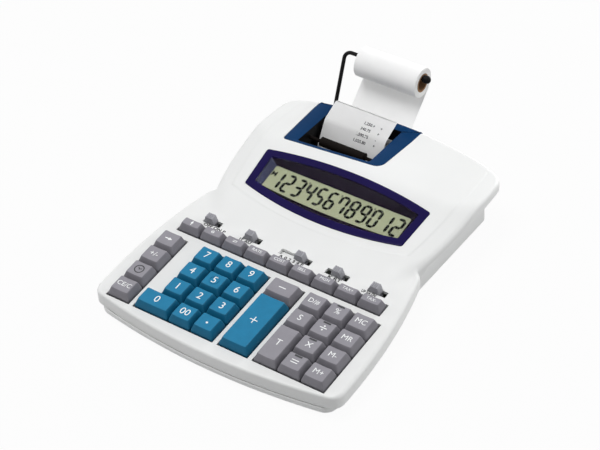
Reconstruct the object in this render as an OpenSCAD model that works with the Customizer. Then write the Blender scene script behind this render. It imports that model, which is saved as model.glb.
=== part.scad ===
// Desktop printing calculator: a sloping key deck, a raised hood with a display and a printer,
// and a paper roll on a wire arm behind it. The front edge faces -Y and +Z is up.
// The case stands on its feet at Z = 0, and the origin is under the middle of the whole object.

/* [Case] */
// Greatest width of the front section
case_w = 218; // [212:1:226]
// Radius of the bowed front edge
front_bow_r = 560; // [450:10:700]
// Radius of the bowed sides of the front section
side_bow_r = 420; // [380:10:600]
// Distance from the front edge to the widest place of the front section
side_bow_y = 33; // [25:1:45]
// Rounding of the front corners, in plan
front_corner_r = 10; // [8:1:16]
// Distance from the first key row to the rear end of the front section
front_end_v = 131; // [126:1:136]
// Rounding of the rear corners of the front section, in plan
front_end_r = 9; // [6:1:12]
// Slope of the key deck
deck_slope = 5; // [4:0.5:6]
// Height of the deck surface at the first key row
deck_h = 20; // [19:0.5:23]
// Distance from the front edge to the first key row
key_setback = 11.5; // [10:0.5:14]
// Wall of the cover and of the case
wall = 2.5; // [2:0.1:3]
// Height of the cover's side wall along the key deck
cover_skirt = 11; // [10.5:0.5:12]
// Gap at the parting line between the cover and the case
parting_gap = 0.3; // [0.1:0.1:0.6]
// Step from the cover's front wall in to the case's front wall
case_step = 1.6; // [1:0.1:2.5]
// Step from the cover's side walls in to the case's side walls
side_step = 5.6; // [5:0.1:6]
// Height of the lip that stands up inside the cover's wall, and its depth below
lip_h = 1.2; // [1:0.1:1.3]
// Height of the feet
foot_h = 2; // [1.5:0.1:3]
// Radius of a foot
foot_r = 7; // [5:0.5:9]

/* [Hood] */
// Width of the hood at its widest place
hood_w = 201; // [196:1:208]
// Distance from the first key row to the hood's widest place
hood_wide_v = 203; // [198:1:210]
// Radius of the hood's bowed sides
hood_bow_r = 306; // [290:2:340]
// Distance from the first key row to the middle of the hood's rear edge
hood_rear_v = 257.5; // [254:0.5:262]
// Radius of the hood's bowed rear edge
rear_bow_r = 311; // [280:1:400]
// Rounding of the hood's rear corners, in plan
rear_corner_r = 15; // [12:1:22]
// Distance from the first key row to where the plane of the display panel meets the deck
hood_rise_v = 95.6; // [94:0.2:97]
// Slope of the display panel, on top of the deck's slope
hood_slope = 7.4; // [6.5:0.1:8]
// Distance from the first key row to the hood's crest
crest_v = 188; // [187:0.5:190]
// Fall of the printer panel behind the crest, against the deck's slope
printer_slope = 7.1; // [6:0.1:8]
// Distance from the first key row to the foot of the raised display panel, in the middle
rise_v = 114; // [112:0.5:115]
// Radius of the bowed front of the raised display panel
rise_r = 219; // [200:5:260]
// Slope of the front of the raised display panel
rise_slope = 35; // [30:1:45]
// Radius of the soft bend at the crest
crest_r = 30; // [15:5:40]
// Half the width of the flat middle of the hood's top
shoulder_x = 81; // [79:1:86]
// Slope of the shoulders beside the display panel
shoulder_slope = 13; // [8:1:14]
// Slope of the shoulders beside the printer panel
rear_shoulder_slope = 4; // [2:1:6]
// Half the width of the case under the hood
base_rear_half = 87; // [84:1:90]
// Step from the hood's rear edge in to the rear wall of the case
base_rear_in = 9.5; // [8:0.5:11]
// Length of the step by which the parting line climbs behind the front section
parting_run = 8; // [6:0.5:10]
// Height of the parting line behind that step, from the plane of the deck
parting_waist_z = -3; // [-4:0.2:-2.6]
// Height of the parting line under the hood's crest, from the plane of the deck
parting_crest_z = 1.2; // [0:0.2:2]
// Height of the parting line at the hood's rear edge, from the plane of the deck
parting_rear_z = -5.5; // [-7:0.5:-5]

/* [Keys] */
// Distance from the sides of the case, at their widest, in to the outer keys
key_margin = 13.05; // [12.5:0.05:13.6]
// Spacing of the key rows
key_pitch_y = 18; // [17.8:0.05:18.2]
// Bare strip between the left column and the number keys
strip_left = 15.6; // [15:0.1:16.5]
// Bare strip between the number keys and the wide keys
strip_mid = 5.1; // [4.5:0.1:5.5]
// Bare strip between the wide keys and the right pad
strip_right = 4.8; // [4.5:0.1:5.5]
// Width of the plus and minus keys
wide_w = 25.7; // [24:0.1:26.5]
// How far the zero key reaches to the left of its column
zero_extra = 10.9; // [10:0.1:11.2]
// Distance from the first key row to the front of the top row
top_v = 79.3; // [78.5:0.1:80]
// Depth of the small keys of the top row
top_d = 11.2; // [10.5:0.1:11.4]
// Gap between neighbouring keys
key_gap = 0.5; // [0.4:0.05:0.8]
// Gap between a key and the edge of its well
well_gap = 0.4; // [0.3:0.05:0.6]
// Height of a key above the deck
key_h = 6.6; // [5.5:0.1:7.5]
// Height of the upright foot of a key above the deck
key_foot = 0.8; // [0.4:0.1:1.2]
// How far the front of a key slopes in
key_front_in = 2.8; // [2.5:0.1:4.5]
// How far the rear of a key slopes in
key_rear_in = 1.5; // [1:0.1:2]
// How far the sides of a key slope in
key_side_in = 2.3; // [2:0.1:3.4]
// Depth of the dished top of a key
key_dish = 0.5; // [0.3:0.1:0.8]
// Wall of a key
key_wall = 1.2; // [1:0.1:1.4]
// Travel of a key
key_travel = 3; // [2.5:0.1:3.2]
// Radius of the plunger under a key
plunger_r = 1.8; // [1.5:0.1:2.2]
// Gap round a plunger in its collar on the mat
plunger_gap = 0.35; // [0.3:0.05:0.5]
// Wall of a collar on the mat
collar_wall = 1.4; // [1:0.1:1.8]
// Thickness of the rubber key mat
mat_t = 2; // [1.5:0.1:2]
// Thickness of the main board
board_t = 1.6; // [1.2:0.1:2]
// How far the main board stays inside the outer keys
board_in = 5; // [4:0.5:6]
// Distance from the first key row to the front of the main board
board_front = 2; // [1:0.5:3]
// How far the main board reaches under the hood, past the keys
board_over = 13; // [11:0.5:15]
// How far a plunger reaches under the deck's plate
plunger_over = 1.5; // [1.3:0.1:1.8]
// Overlap of a plunger with its collar at rest
collar_over = 0.6; // [0.4:0.1:0.8]

/* [Switches] */
// Distance from the first key row to the switch knobs
switch_v = 98.5; // [97.5:0.5:100]
// Spacing of the switches
switch_pitch = 37; // [36:0.5:38]
// Shift of the switch row to the right
switch_x = 1.5; // [0:0.5:3]
// Travel of a switch knob to each side
switch_travel = 4; // [3:0.5:4.5]
// Travel of the long middle switch to each side
long_travel = 8; // [7:0.5:9]
// Width of a switch knob
knob_w = 9.5; // [8:0.5:10]
// Width of a knob's top
knob_top_w = 6; // [5:0.5:7]
// Depth of a switch knob
knob_d = 5.5; // [4.5:0.1:6]
// Height of a switch knob above the deck
knob_h = 6.5; // [5:0.5:7.5]
// Depth of the grooves in a knob's top
knob_groove = 0.6; // [0.4:0.1:0.9]
// Thickness of the plate under a knob
knob_plate = 1.2; // [1:0.1:1.6]
// Width of the neck under a knob
neck_w = 4; // [3:0.5:5]
// Depth of the neck under a knob
neck_d = 2.4; // [2:0.1:3]
// Gap round the moving pieces of a switch
switch_gap = 0.4; // [0.3:0.1:0.6]

/* [Display] */
// Half the width of the display lens at its front corners
lens_front_half = 71; // [69:0.5:73]
// Half the width of the display lens at its rear corners
lens_rear_half = 74; // [72:0.5:76]
// Distance from the hood's start to the lens's front corners
lens_front_w = 45.8; // [45:0.2:47]
// Distance from the hood's start to the lens's rear corners
lens_rear_w = 82.1; // [81:0.2:83]
// Bulge of the lens's front edge
lens_front_bow = 9; // [7:0.5:11]
// Bulge of the lens's rear edge
lens_rear_bow = 8; // [6:0.5:9]
// Thickness of the display lens
lens_t = 2; // [1.8:0.1:2.4]
// How far the lens stands proud of the hood
lens_proud = 0.5; // [0.3:0.1:0.8]
// Gap round the lens in its recess
lens_gap = 0.15; // [0.1:0.05:0.3]
// Width of the visible display area
lcd_w = 124; // [118:1:128]
// Depth of the visible display area
lcd_d = 22; // [20:0.5:24]
// Margin of the LCD panel round its visible area
lcd_margin = 3; // [2:0.5:4]
// Thickness of the LCD panel
lcd_t = 2.8; // [2:0.1:3.5]

/* [Printer] */
// Place of the paper's middle across the case
paper_x = -28; // [-30:0.2:-26]
// Width of the paper
paper_w = 57; // [56:0.5:58]
// Thickness of the paper strip
paper_t = 0.3; // [0.2:0.05:0.4]
// Width of the opening in the trim
mouth_w = 62; // [61:0.5:64]
// Half the width of the trim at its front
trim_front_half = 42.2; // [41:0.2:44]
// Half the width of the trim at its rear
trim_rear_half = 46; // [45:0.5:47]
// Distance from the crest to the trim's left front corner
trim_left_w = 4.1; // [3.5:0.1:6]
// Distance from the crest to the trim's right front corner
trim_right_w = 12.9; // [10:0.1:14]
// Rounding of the trim's right front corner
trim_corner_r = 8; // [5:0.5:10]
// Thickness of the trim's top
trim_t = 2.5; // [2:0.1:3]
// Width of the trim's front rim
trim_front_rim = 3; // [2.5:0.1:4]
// Width of the trim's rear rim
trim_rear_rim = 4; // [3:0.5:5]
// Depth of the trim's inner walls under the hood
trim_well = 12; // [10:0.5:13]
// Thickness of the trim's inner walls
trim_wall = 1.5; // [1.2:0.1:2]
// Gap round the trim in the cover
trim_gap = 0.15; // [0.1:0.05:0.3]
// Height of the paper slot in the rear wall, from the plane of the deck
slot_z = -24; // [-25:0.5:-23]
// Height of the paper slot's opening
slot_h = 7; // [6:0.5:8]
// Distance from the first key row to the paper's turn under the platen
under_v = 210; // [208:0.5:212]
// Height of that turn from the plane of the deck
under_z = -19; // [-20:0.5:-18]
// Distance from the first key row to the bend where the paper leaves the opening
bend_v = 230; // [229:0.5:231]
// Height of that bend from the plane of the deck
bend_z = 7.5; // [7:0.5:8.5]
// Distance from the first key row to the paper's torn end
strip_v = 247; // [244:0.5:249]
// Height of the torn end from the plane of the deck
strip_z = 13.5; // [12:0.5:15]
// Radius of the paper's bends off the platen
paper_bend_r = 8; // [6:0.5:10]
// Distance from the first key row to the ink roller
ink_v = 212; // [211:0.5:213]
// Height of the ink roller from the plane of the deck
ink_z = 1.5; // [0.5:0.5:2]
// Radius of the platen roller
platen_r = 7; // [6:0.2:7.4]
// Gap between the paper and what turns beside it
paper_gap = 0.35; // [0.3:0.05:0.5]
// Radius of the roller shafts
shaft_r = 1.5; // [1.2:0.1:2]
// Running clearance of the shafts in the printer frame
shaft_gap = 0.05; // [0.02:0.01:0.1]
// Radius of the ink roller
ink_r = 4; // [3.5:0.1:4.2]
// Length of the ink roller
ink_l = 40; // [36:1:46]
// Thickness of the printer frame's plates
frame_t = 1.6; // [1.2:0.1:2]
// Radius of the gear on the platen's shaft
gear_r = 5.5; // [5:0.1:6]
// Width of that gear
gear_w = 2; // [1.5:0.1:2.4]
// Gap between that gear and the frame
gear_gap = 0.4; // [0.3:0.1:0.6]
// Gap between the frame's plates and the trim's inner walls
frame_gap = 2; // [1.5:0.1:3]
// How far the shafts reach past the frame
shaft_over = 1; // [0.5:0.1:1.5]
// Gap round the ink roller's shaft in the trim's inner walls
shaft_room = 0.5; // [0.3:0.1:0.8]

/* [Paper roll] */
// Outer radius of the paper roll
roll_r = 12.3; // [11:0.1:13.5]
// Outer radius of the card core
core_r = 7.8; // [7.4:0.1:8.2]
// Bore radius of the card core
core_bore_r = 6.35; // [6:0.05:6.6]
// Fit between the core and the paper
core_gap = 0.05; // [0.02:0.01:0.1]
// Distance from the first key row to the roll's axis
roll_v = 286; // [283:1:290]
// Height of the roll's axis above the plane of the deck
roll_z = 25; // [23:0.5:28]
// Radius of the wire arm
wire_r = 1.6; // [1.4:0.1:1.8]
// Radius of the wire's bends
wire_bend_r = 6; // [5:0.5:8]
// Place of the wire's post across the case
wire_x = -72; // [-75:0.5:-70]
// Backward lean of the post
wire_lean = 22; // [18:1:26]
// Height of the wire's leg above the table
wire_leg_z = 15; // [13:0.5:17]
// Depth of the wire in its socket
wire_grip = 12; // [10:0.5:14]
// Fit of the wire in its socket and in the end cap
wire_gap = 0.05; // [0.02:0.01:0.1]
// Gap between the spindle and the core that hangs on it
spindle_gap = 0.3; // [0.2:0.05:0.5]
// Length of the spindle past the roll
spindle_over = 3; // [2:0.5:5]
// Radius of the end cap
cap_r = 3.2; // [2.8:0.1:4]
// Length of the end cap
cap_l = 6; // [5:0.5:8]
// Gap between the roll and the end cap
cap_gap = 1; // [0.5:0.1:2]

/* [Sockets and screws] */
// Bore radius of the adapter socket
jack_r = 2.75; // [2.5:0.05:3]
// Depth of the adapter socket
jack_depth = 9; // [8:0.5:11]
// Place of the adapter socket across the case
jack_x = 58; // [50:1:66]
// Height of the adapter socket above the table
jack_z = 16; // [14:0.5:18]
// Wall round a socket
socket_wall = 2.2; // [1.8:0.1:2.6]
// Radius of a case screw's shank
screw_r = 1.5; // [1.3:0.1:1.7]
// Radius of a case screw's head
screw_head_r = 2.8; // [2.5:0.1:3.1]
// Height of a case screw's head
screw_head_h = 1.8; // [1.5:0.1:2.1]
// Gap round a case screw
screw_gap = 0.1; // [0.05:0.05:0.2]
// Radius of the screw posts and bosses
post_r = 4.2; // [3.8:0.1:4.6]
// Distance of the front screws and feet from the case's sides
screw_side = 11; // [11:0.5:13]
// Distance of the front screws and feet from the front edge
screw_front = 26; // [24:1:30]
// Distance of the rear screws from the walls of the case
screw_rear = 9; // [8:0.5:11]
// How far a screw's end stays under the deck's surface
screw_short = 2.5; // [2:0.1:3]
// Distance of a foot from its screw
foot_away = 15; // [13:0.5:17]

/* [Hidden] */
$fn = 96;
GREY = "#8f8d95";
TEAL = "#2b80a8";
WHITE = "#ececea";
NAVY = "#17345f";
INK_BLACK = "#1b1b1e";
FAR = 400;
// A corner's arc reaches past its neighbours by this much, so that the arcs cross cleanly
corner_over = 0.02;

// Positions that follow from the sizes
roll_y = key_setback + roll_v * cos(deck_slope) - roll_z * sin(deck_slope);
total_d = roll_y + roll_r;
y_front = -total_d / 2;
function deck_y(v, z) = y_front + key_setback + v * cos(deck_slope) - z * sin(deck_slope);
function deck_z(v, z) = deck_h + v * sin(deck_slope) + z * cos(deck_slope);
crest_z = (crest_v - hood_rise_v) * tan(hood_slope);
function panel_z(v) = crest_z - (v - crest_v) * tan(printer_slope);
hood_rear_y = deck_y(hood_rear_v, panel_z(hood_rear_v));
front_end_y = deck_y(front_end_v, 0);
hood_start_y = deck_y(hood_rise_v, 0);
bow_y = hood_rear_y - rear_bow_r;
// The rear wall of the case follows the hood's bowed edge
function rear_wall_y(x) = bow_y + sqrt(pow(rear_bow_r - base_rear_in, 2) - x * x);
floor_z = foot_h + wall;
// Half the height of the cone that shapes the display panel's front
rise_h = 80;

// Key columns, from the middle of the case: seven keys of one width, one wide key and the strips
keys_w = case_w - 2 * key_margin;
key_pitch_x = (keys_w - strip_left - strip_mid - wide_w - strip_right) / 7;
left_x = -keys_w / 2;
num_x = left_x + key_pitch_x + strip_left;
wide_x = num_x + 3 * key_pitch_x + strip_mid;
pad_x = wide_x + wide_w + strip_right;
row_x = -4.5 * key_pitch_x;
keys_d = 4 * key_pitch_y;

TOP_NAMES = ["key_feed", "key_local", "key_convert", "key_rate", "key_cost", "key_sell", "key_margin",
    "key_tax_plus", "key_tax_minus"];
LEFT_NAMES = ["key_clear", "key_clock", "key_sign", "key_shift"];
NUMBER_NAMES = [["key_1", "key_2", "key_3"], ["key_4", "key_5", "key_6"], ["key_7", "key_8", "key_9"]];
SIGN_NAMES = ["key_equals", "key_multiply", "key_divide", "key_percent"];
MEMORY_NAMES = ["key_memory_plus", "key_memory_minus", "key_memory_recall", "key_memory_clear"];

// Each key: name, left edge, front edge, width, depth, colour
KEYS = concat(
    [for (i = [0:8]) [TOP_NAMES[i], row_x + i * key_pitch_x, top_v, key_pitch_x, top_d, GREY]],
    [for (i = [0:3]) [LEFT_NAMES[i], left_x, i * key_pitch_y, key_pitch_x, key_pitch_y, GREY]],
    [["key_0", num_x - zero_extra, 0, key_pitch_x + zero_extra, key_pitch_y, TEAL]],
    [["key_00", num_x + key_pitch_x, 0, key_pitch_x, key_pitch_y, TEAL]],
    [["key_point", num_x + 2 * key_pitch_x, 0, key_pitch_x, key_pitch_y, TEAL]],
    [for (r = [0:2]) for (c = [0:2])
        [NUMBER_NAMES[r][c], num_x + c * key_pitch_x, (r + 1) * key_pitch_y, key_pitch_x, key_pitch_y, TEAL]],
    [["key_plus", wide_x, 0, wide_w, 3 * key_pitch_y, TEAL]],
    [["key_minus", wide_x, 3 * key_pitch_y, wide_w, key_pitch_y, GREY]],
    [["key_total", pad_x, 0, key_pitch_x, 2 * key_pitch_y, GREY]],
    [["key_subtotal", pad_x, 2 * key_pitch_y, key_pitch_x, key_pitch_y, GREY]],
    [["key_date", pad_x, 3 * key_pitch_y, key_pitch_x, key_pitch_y, GREY]],
    [for (i = [0:3]) [SIGN_NAMES[i], pad_x + key_pitch_x, i * key_pitch_y, key_pitch_x, key_pitch_y, GREY]],
    [for (i = [0:3]) [MEMORY_NAMES[i], pad_x + 2 * key_pitch_x, i * key_pitch_y, key_pitch_x, key_pitch_y, GREY]]
);

// Each well: left edge, front edge, width, depth
WELLS = [
    [row_x, top_v, 9 * key_pitch_x, top_d],
    [left_x, 0, key_pitch_x, keys_d],
    [num_x, 0, 3 * key_pitch_x, keys_d],
    [num_x - zero_extra, 0, zero_extra + key_pitch_x, key_pitch_y],
    [wide_x, 0, wide_w, keys_d],
    [pad_x, 0, 3 * key_pitch_x, keys_d],
];

// Each switch: name, place of its slot across the case, travel to each side, resting place in the slot
REST = [0, 0, 1, 1, 0];
TRAVEL = [switch_travel, switch_travel, long_travel, switch_travel, switch_travel];
SWITCHES = [for (i = [0:4])
    [str("switch_", i + 1), switch_x + (i - 2) * switch_pitch, TRAVEL[i], REST[i] * TRAVEL[i]]];

// Heights under the deck, along its normal
plunger_bottom = -wall - plunger_over;
mat_top = plunger_bottom - key_travel - plunger_gap;
collar_top = plunger_bottom + collar_over;
board_top = mat_top - mat_t;
board_bottom = board_top - board_t;
board_half = -left_x - board_in;
mat_rear = top_v + top_d;
board_rear = mat_rear + board_over;

// Geometry helpers
function unit(a) = a / norm(a);
function turn(a) = a > 180 ? a - 360 : a < -180 ? a + 360 : a;
function angle_of(a) = atan2(a[1], a[0]);
function half_angle(a, b, c) = acos(unit(a - b) * unit(c - b)) / 2;
function corner_centre(a, b, c, r) =
    b + unit(unit(a - b) + unit(c - b)) * r / sin(half_angle(a, b, c));
function corner_arc(a, b, c, r, n = 8) =
    let (t = r / tan(half_angle(a, b, c)),
         m = corner_centre(a, b, c, r),
         from = angle_of(b + unit(a - b) * t - m),
         sweep = turn(angle_of(b + unit(c - b) * t - m) - from))
    [for (i = [0:n]) m + r * [cos(from + sweep * i / n), sin(from + sweep * i / n)]];
// Where two circles meet, on the side of larger x
function circles_meet(a, ra, b, rb) =
    let (d = norm(b - a),
         along = (d * d + ra * ra - rb * rb) / (2 * d),
         aside = sqrt(ra * ra - along * along),
         u = (b - a) / d,
         p = a + u * along + [-u[1], u[0]] * aside,
         q = a + u * along - [-u[1], u[0]] * aside)
    p[0] > q[0] ? p : q;

module on_deck() translate([0, y_front + key_setback, deck_h]) rotate([deck_slope, 0, 0]) children();
module on_hood() on_deck() translate([0, hood_rise_v, 0]) rotate([hood_slope, 0, 0]) children();
module on_panel() on_deck() translate([0, crest_v, crest_z]) rotate([-printer_slope, 0, 0]) children();
// A side view (distance back, height) drawn out across the case
module across(width, x = 0) translate([x, 0, 0]) rotate([90, 0, 90]) translate([0, 0, -width / 2])
    linear_extrude(width) children();
// A front view (x, height) drawn out to the rear
module along(length) rotate([90, 0, 0]) translate([0, 0, -length]) linear_extrude(length) children();

// A plan with bowed sides, one bowed end and rounded corners at that end
module bowed_plan(half, side_y, side_r, bow_y, bow_r, toward, corner_r, inset, y_from, y_to) {
    bow_c = [0, bow_y - toward * bow_r];
    side_c = [half - side_r, side_y];
    corner_c = circles_meet(bow_c, bow_r - corner_r, side_c, side_r - corner_r);
    bow_t = bow_c + unit(corner_c - bow_c) * (bow_r - inset);
    side_t = side_c + unit(corner_c - side_c) * (side_r - inset);
    difference() {
        intersection() {
            translate(bow_c) circle(bow_r - inset, $fn = 360);
            translate(side_c) circle(side_r - inset, $fn = 360);
            mirror([1, 0]) translate(side_c) circle(side_r - inset, $fn = 360);
            translate([-half, y_from]) square([2 * half, y_to - y_from]);
        }
        for (side = [0, 1]) mirror([side, 0]) difference() {
            polygon([corner_c, bow_t, bow_t + (side_t - corner_c), side_t + (bow_t - corner_c), side_t]);
            translate(corner_c) circle(corner_r + corner_over - inset);
        }
    }
}
module front_plan(half, inset, y_to) bowed_plan(half, y_front + side_bow_y, side_bow_r, y_front, front_bow_r,
    -1, front_corner_r, inset, y_front, y_to);
module hood_plan(inset) bowed_plan(hood_w / 2, deck_y(hood_wide_v, 0), hood_bow_r, hood_rear_y, rear_bow_r,
    1, rear_corner_r, inset, hood_start_y, hood_rear_y);
module column(z_from = 0, z_to = FAR) translate([0, 0, z_from]) linear_extrude(z_to - z_from) children();

// The front section narrows to the hood at its rear corners
module front_end_plan(inset) {
    difference() {
        front_plan(case_w / 2, inset, front_end_y - inset);
        for (side = [0, 1]) mirror([side, 0]) front_end_corner(inset);
    }
}
module front_end_corner(inset) {
    side_c = [case_w / 2 - side_bow_r, y_front + side_bow_y];
    reach = side_bow_r - front_end_r;
    rise = front_end_y - front_end_r - side_c[1];
    centre = [side_c[0] + sqrt(reach * reach - rise * rise), front_end_y - front_end_r];
    difference() {
        translate(centre) square(front_end_r + wall);
        translate(centre) circle(front_end_r + corner_over - inset);
    }
}
module cover_plan(inset) {
    front_end_plan(inset);
    hood_plan(inset);
}
// Side view of the top: deck, display panel, soft crest, printer panel
RISE = [hood_rise_v, 0];
CREST = [crest_v, crest_z];
PANEL_REAR = [FAR, panel_z(FAR)];
TOP_LINE = concat([[-FAR, -FAR], [-FAR, 0], RISE], corner_arc(RISE, CREST, PANEL_REAR, crest_r),
    [PANEL_REAR, [FAR, -FAR]]);
// Everything under that top, lowered by a depth, with shoulders that fall away beside the panels
// and a bowed, sloping front to the raised display panel
module under_top(drop) {
    run = rise_h / tan(rise_slope);
    on_deck() across(FAR) polygon([[-FAR, -FAR], [-FAR, -drop], [FAR, -drop], [FAR, -FAR]]);
    intersection() {
        on_deck() across(FAR) translate([0, -drop]) polygon(TOP_LINE);
        on_hood() translate([0, -hood_rise_v, -drop]) along(FAR) shoulder_view(shoulder_slope);
        on_panel() translate([0, -hood_rise_v, -drop]) along(FAR) shoulder_view(rear_shoulder_slope);
        on_deck() translate([0, rise_v + rise_r, -drop]) cylinder(r1 = rise_r + run, r2 = rise_r - run,
            h = 2 * rise_h, center = true, $fn = 360);
    }
}
module shoulder_view(slope) {
    edge_z = -(case_w - shoulder_x) * tan(slope);
    polygon([[-case_w, -FAR], [-case_w, edge_z], [-shoulder_x, 0], [shoulder_x, 0], [case_w, edge_z],
        [case_w, -FAR]]);
}
// Side view of everything above the parting line, which climbs under the hood
PARTING = [[-FAR, FAR], [-FAR, -cover_skirt], [front_end_v, -cover_skirt],
    [front_end_v + parting_run, parting_waist_z], [crest_v, parting_crest_z], [hood_rear_v, parting_rear_z],
    [FAR, parting_rear_z], [FAR, FAR]];
module above_parting(raise) on_deck() across(FAR) translate([0, raise]) polygon(PARTING);
module cover_cavity() intersection() {
    column() cover_plan(wall);
    under_top(wall);
}

SCREWS = [[case_w / 2 - screw_side, y_front + screw_front],
    [base_rear_half - screw_rear, rear_wall_y(base_rear_half) - screw_rear]];
screw_top = deck_z((screw_front - key_setback) / cos(deck_slope), 0) - screw_short;
module at_screws() for (p = SCREWS) for (side = [-1, 1]) translate([side * p[0], p[1], 0]) children();

// Rectangles of the key wells, as cut or as covered
module well_cuts() for (w = WELLS) translate([w[0] - well_gap, w[1] - well_gap, -FAR / 2])
    cube([w[2] + 2 * well_gap, w[3] + 2 * well_gap, FAR]);

module lens_plan(inset) {
    front_r = (lens_front_half * lens_front_half + lens_front_bow * lens_front_bow) / (2 * lens_front_bow);
    rear_r = (lens_rear_half * lens_rear_half + lens_rear_bow * lens_rear_bow) / (2 * lens_rear_bow);
    intersection() {
        translate([0, lens_front_w - lens_front_bow + front_r]) circle(front_r - inset, $fn = 360);
        translate([0, lens_rear_w + lens_rear_bow - rear_r]) circle(rear_r - inset, $fn = 360);
        polygon([[-lens_front_half + inset, lens_front_w - lens_front_bow], [lens_front_half - inset,
            lens_front_w - lens_front_bow], [lens_rear_half - inset, lens_rear_w + lens_rear_bow],
            [-lens_rear_half + inset, lens_rear_w + lens_rear_bow]]);
    }
}
lcd_w_mid = (lens_front_w + lens_rear_w) / 2;
module lcd_plan(grow) translate([-lcd_w / 2 - grow, lcd_w_mid - lcd_d / 2 - grow])
    square([lcd_w + 2 * grow, lcd_d + 2 * grow]);

// The trim's outline on the printer panel, reaching past the rear edge
trim_reach = 2 * hood_rear_v - 2 * crest_v;
trim_far = trim_rear_half - paper_x;
trim_bow = rear_bow_r - sqrt(rear_bow_r * rear_bow_r - trim_far * trim_far / 2);
trim_spread = 2 * trim_rear_half - trim_front_half;
TRIM = [[-trim_front_half, trim_left_w], [trim_front_half, trim_right_w], [trim_spread, trim_reach],
    [-trim_spread, trim_reach]];
module trim_plan(grow) translate([paper_x, 0]) polygon(concat(
    [TRIM[3] - [grow, 0], TRIM[0] - [grow, grow]],
    corner_arc(TRIM[0] - [0, grow], TRIM[1] + [grow, -grow], TRIM[2] + [grow, 0], trim_corner_r),
    [TRIM[2] + [grow, 0]]));
// The mouth's front edge runs along the trim's front edge
function trim_front_w(x) =
    trim_left_w + (x + trim_front_half) * (trim_right_w - trim_left_w) / (2 * trim_front_half);
mouth_rear_w = hood_rear_v - crest_v - trim_rear_rim - trim_bow;
module mouth_plan(grow) {
    half = mouth_w / 2 + grow;
    front = trim_front_rim - grow;
    translate([paper_x, 0]) polygon([[-half, trim_front_w(-half) + front], [half, trim_front_w(half) + front],
        [half, mouth_rear_w + grow], [-half, mouth_rear_w + grow]]);
}

// Room for the trim's inner walls
module trim_room() on_panel() translate([0, 0, -trim_well - trim_gap]) linear_extrude(FAR)
    mouth_plan(trim_wall + trim_gap);

// The paper's route in side view: slot in the rear wall, under and round the platen, out and back
slot_v = hood_rear_v - base_rear_in - wall;
SLOT = [slot_v, slot_z];
UNDER = [under_v, under_z];
BEND = [bend_v, bend_z];
PAPER_END = [strip_v, strip_z];
ROLL = [roll_v, roll_z];
web_reach = norm(ROLL - SLOT);
web_angle = angle_of(ROLL - SLOT) - asin((roll_r + paper_gap) / web_reach);
web_length = sqrt(pow(web_reach, 2) - pow(roll_r + paper_gap, 2));
WEB_TOP = SLOT + web_length * [cos(web_angle), sin(web_angle)];
wrap_r = platen_r + paper_gap + paper_t / 2;
PLATEN = corner_centre(SLOT, UNDER, BEND, wrap_r);
INK = [ink_v, ink_z];
ROUTE = concat([WEB_TOP], corner_arc(WEB_TOP, SLOT, UNDER, paper_bend_r),
    corner_arc(SLOT, UNDER, BEND, wrap_r, 12), corner_arc(UNDER, BEND, PAPER_END, paper_bend_r), [PAPER_END]);
function route_normal(i) =
    let (a = ROUTE[max(i - 1, 0)], b = ROUTE[min(i + 1, len(ROUTE) - 1)], d = unit(b - a)) [-d[1], d[0]];

// Wire arm: the corner over the roll, and the foot where the leg meets the post
spindle_up = core_bore_r - wire_r - spindle_gap;
CORNER = [wire_x, deck_y(roll_v, roll_z), deck_z(roll_v, roll_z) + spindle_up];
post_l = (CORNER[2] - wire_leg_z) / cos(wire_lean);
foot_y = CORNER[1] - post_l * sin(wire_lean);
foot_turn = 90 - wire_lean;
foot_t = wire_bend_r * tan(foot_turn / 2);
spindle_end = paper_x + paper_w / 2 + spindle_over + cap_l / 2;

module upper_cover() color(WHITE) {
    difference() {
        union() {
            difference() {
                intersection() {
                    column() cover_plan(0);
                    under_top(0);
                    above_parting(0);
                }
                cover_cavity();
            }
            intersection() {
                at_screws() cylinder(r = post_r, h = FAR);
                under_top(wall / 2);
                above_parting(0);
            }
        }
        on_deck() well_cuts();
        for (s = SWITCHES) on_deck() translate([s[1], switch_v, 0])
            cube([neck_w + 2 * (s[2] + switch_gap), neck_d + 2 * switch_gap, FAR], center = true);
        on_hood() translate([0, 0, lens_proud - lens_t]) linear_extrude(FAR) lens_plan(-lens_gap);
        on_hood() translate([0, 0, -2 * wall]) linear_extrude(FAR) lcd_plan(0);
        on_panel() translate([0, 0, -trim_t - trim_gap]) linear_extrude(FAR) trim_plan(trim_gap);
        trim_room();
        at_screws() cylinder(r = screw_r + screw_gap / 2, h = screw_top + screw_gap);
    }
}

module case_front_plan(inset) front_plan(case_w / 2 - side_step + case_step, case_step + inset,
    front_end_y - case_step - inset);
module case_rear_plan(inset) intersection() {
    translate([-base_rear_half + inset, hood_start_y]) square([2 * (base_rear_half - inset), FAR]);
    translate([0, bow_y]) circle(rear_bow_r - base_rear_in - inset, $fn = 360);
}
// A lip inside the cover's wall closes the gap between the two shells all round
module lower_case() color(WHITE) {
    difference() {
        union() {
            difference() {
                column(foot_h) case_front_plan(0);
                above_parting(-parting_gap);
            }
            difference() {
                column(foot_h) case_rear_plan(0);
                above_parting(lip_h);
            }
            difference() {
                intersection() {
                    column() cover_plan(wall + parting_gap);
                    above_parting(-lip_h);
                }
                above_parting(lip_h);
            }
        }
        column(floor_z) case_front_plan(wall);
        column(floor_z) case_rear_plan(wall);
        trim_room();
        case_openings();
        intersection() {
            at_screws() cylinder(r = post_r + parting_gap, h = FAR);
            above_parting(-parting_gap);
        }
    }
    difference() {
        case_fittings();
        case_openings();
    }
}
module case_fittings() {
    difference() {
        at_screws() translate([0, 0, foot_h]) cylinder(r = post_r, h = FAR);
        above_parting(-parting_gap);
    }
    board_posts();
    rear_socket(wire_x, wire_leg_z, wire_r, wire_grip);
    rear_socket(jack_x, jack_z, jack_r, jack_depth);
}
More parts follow.
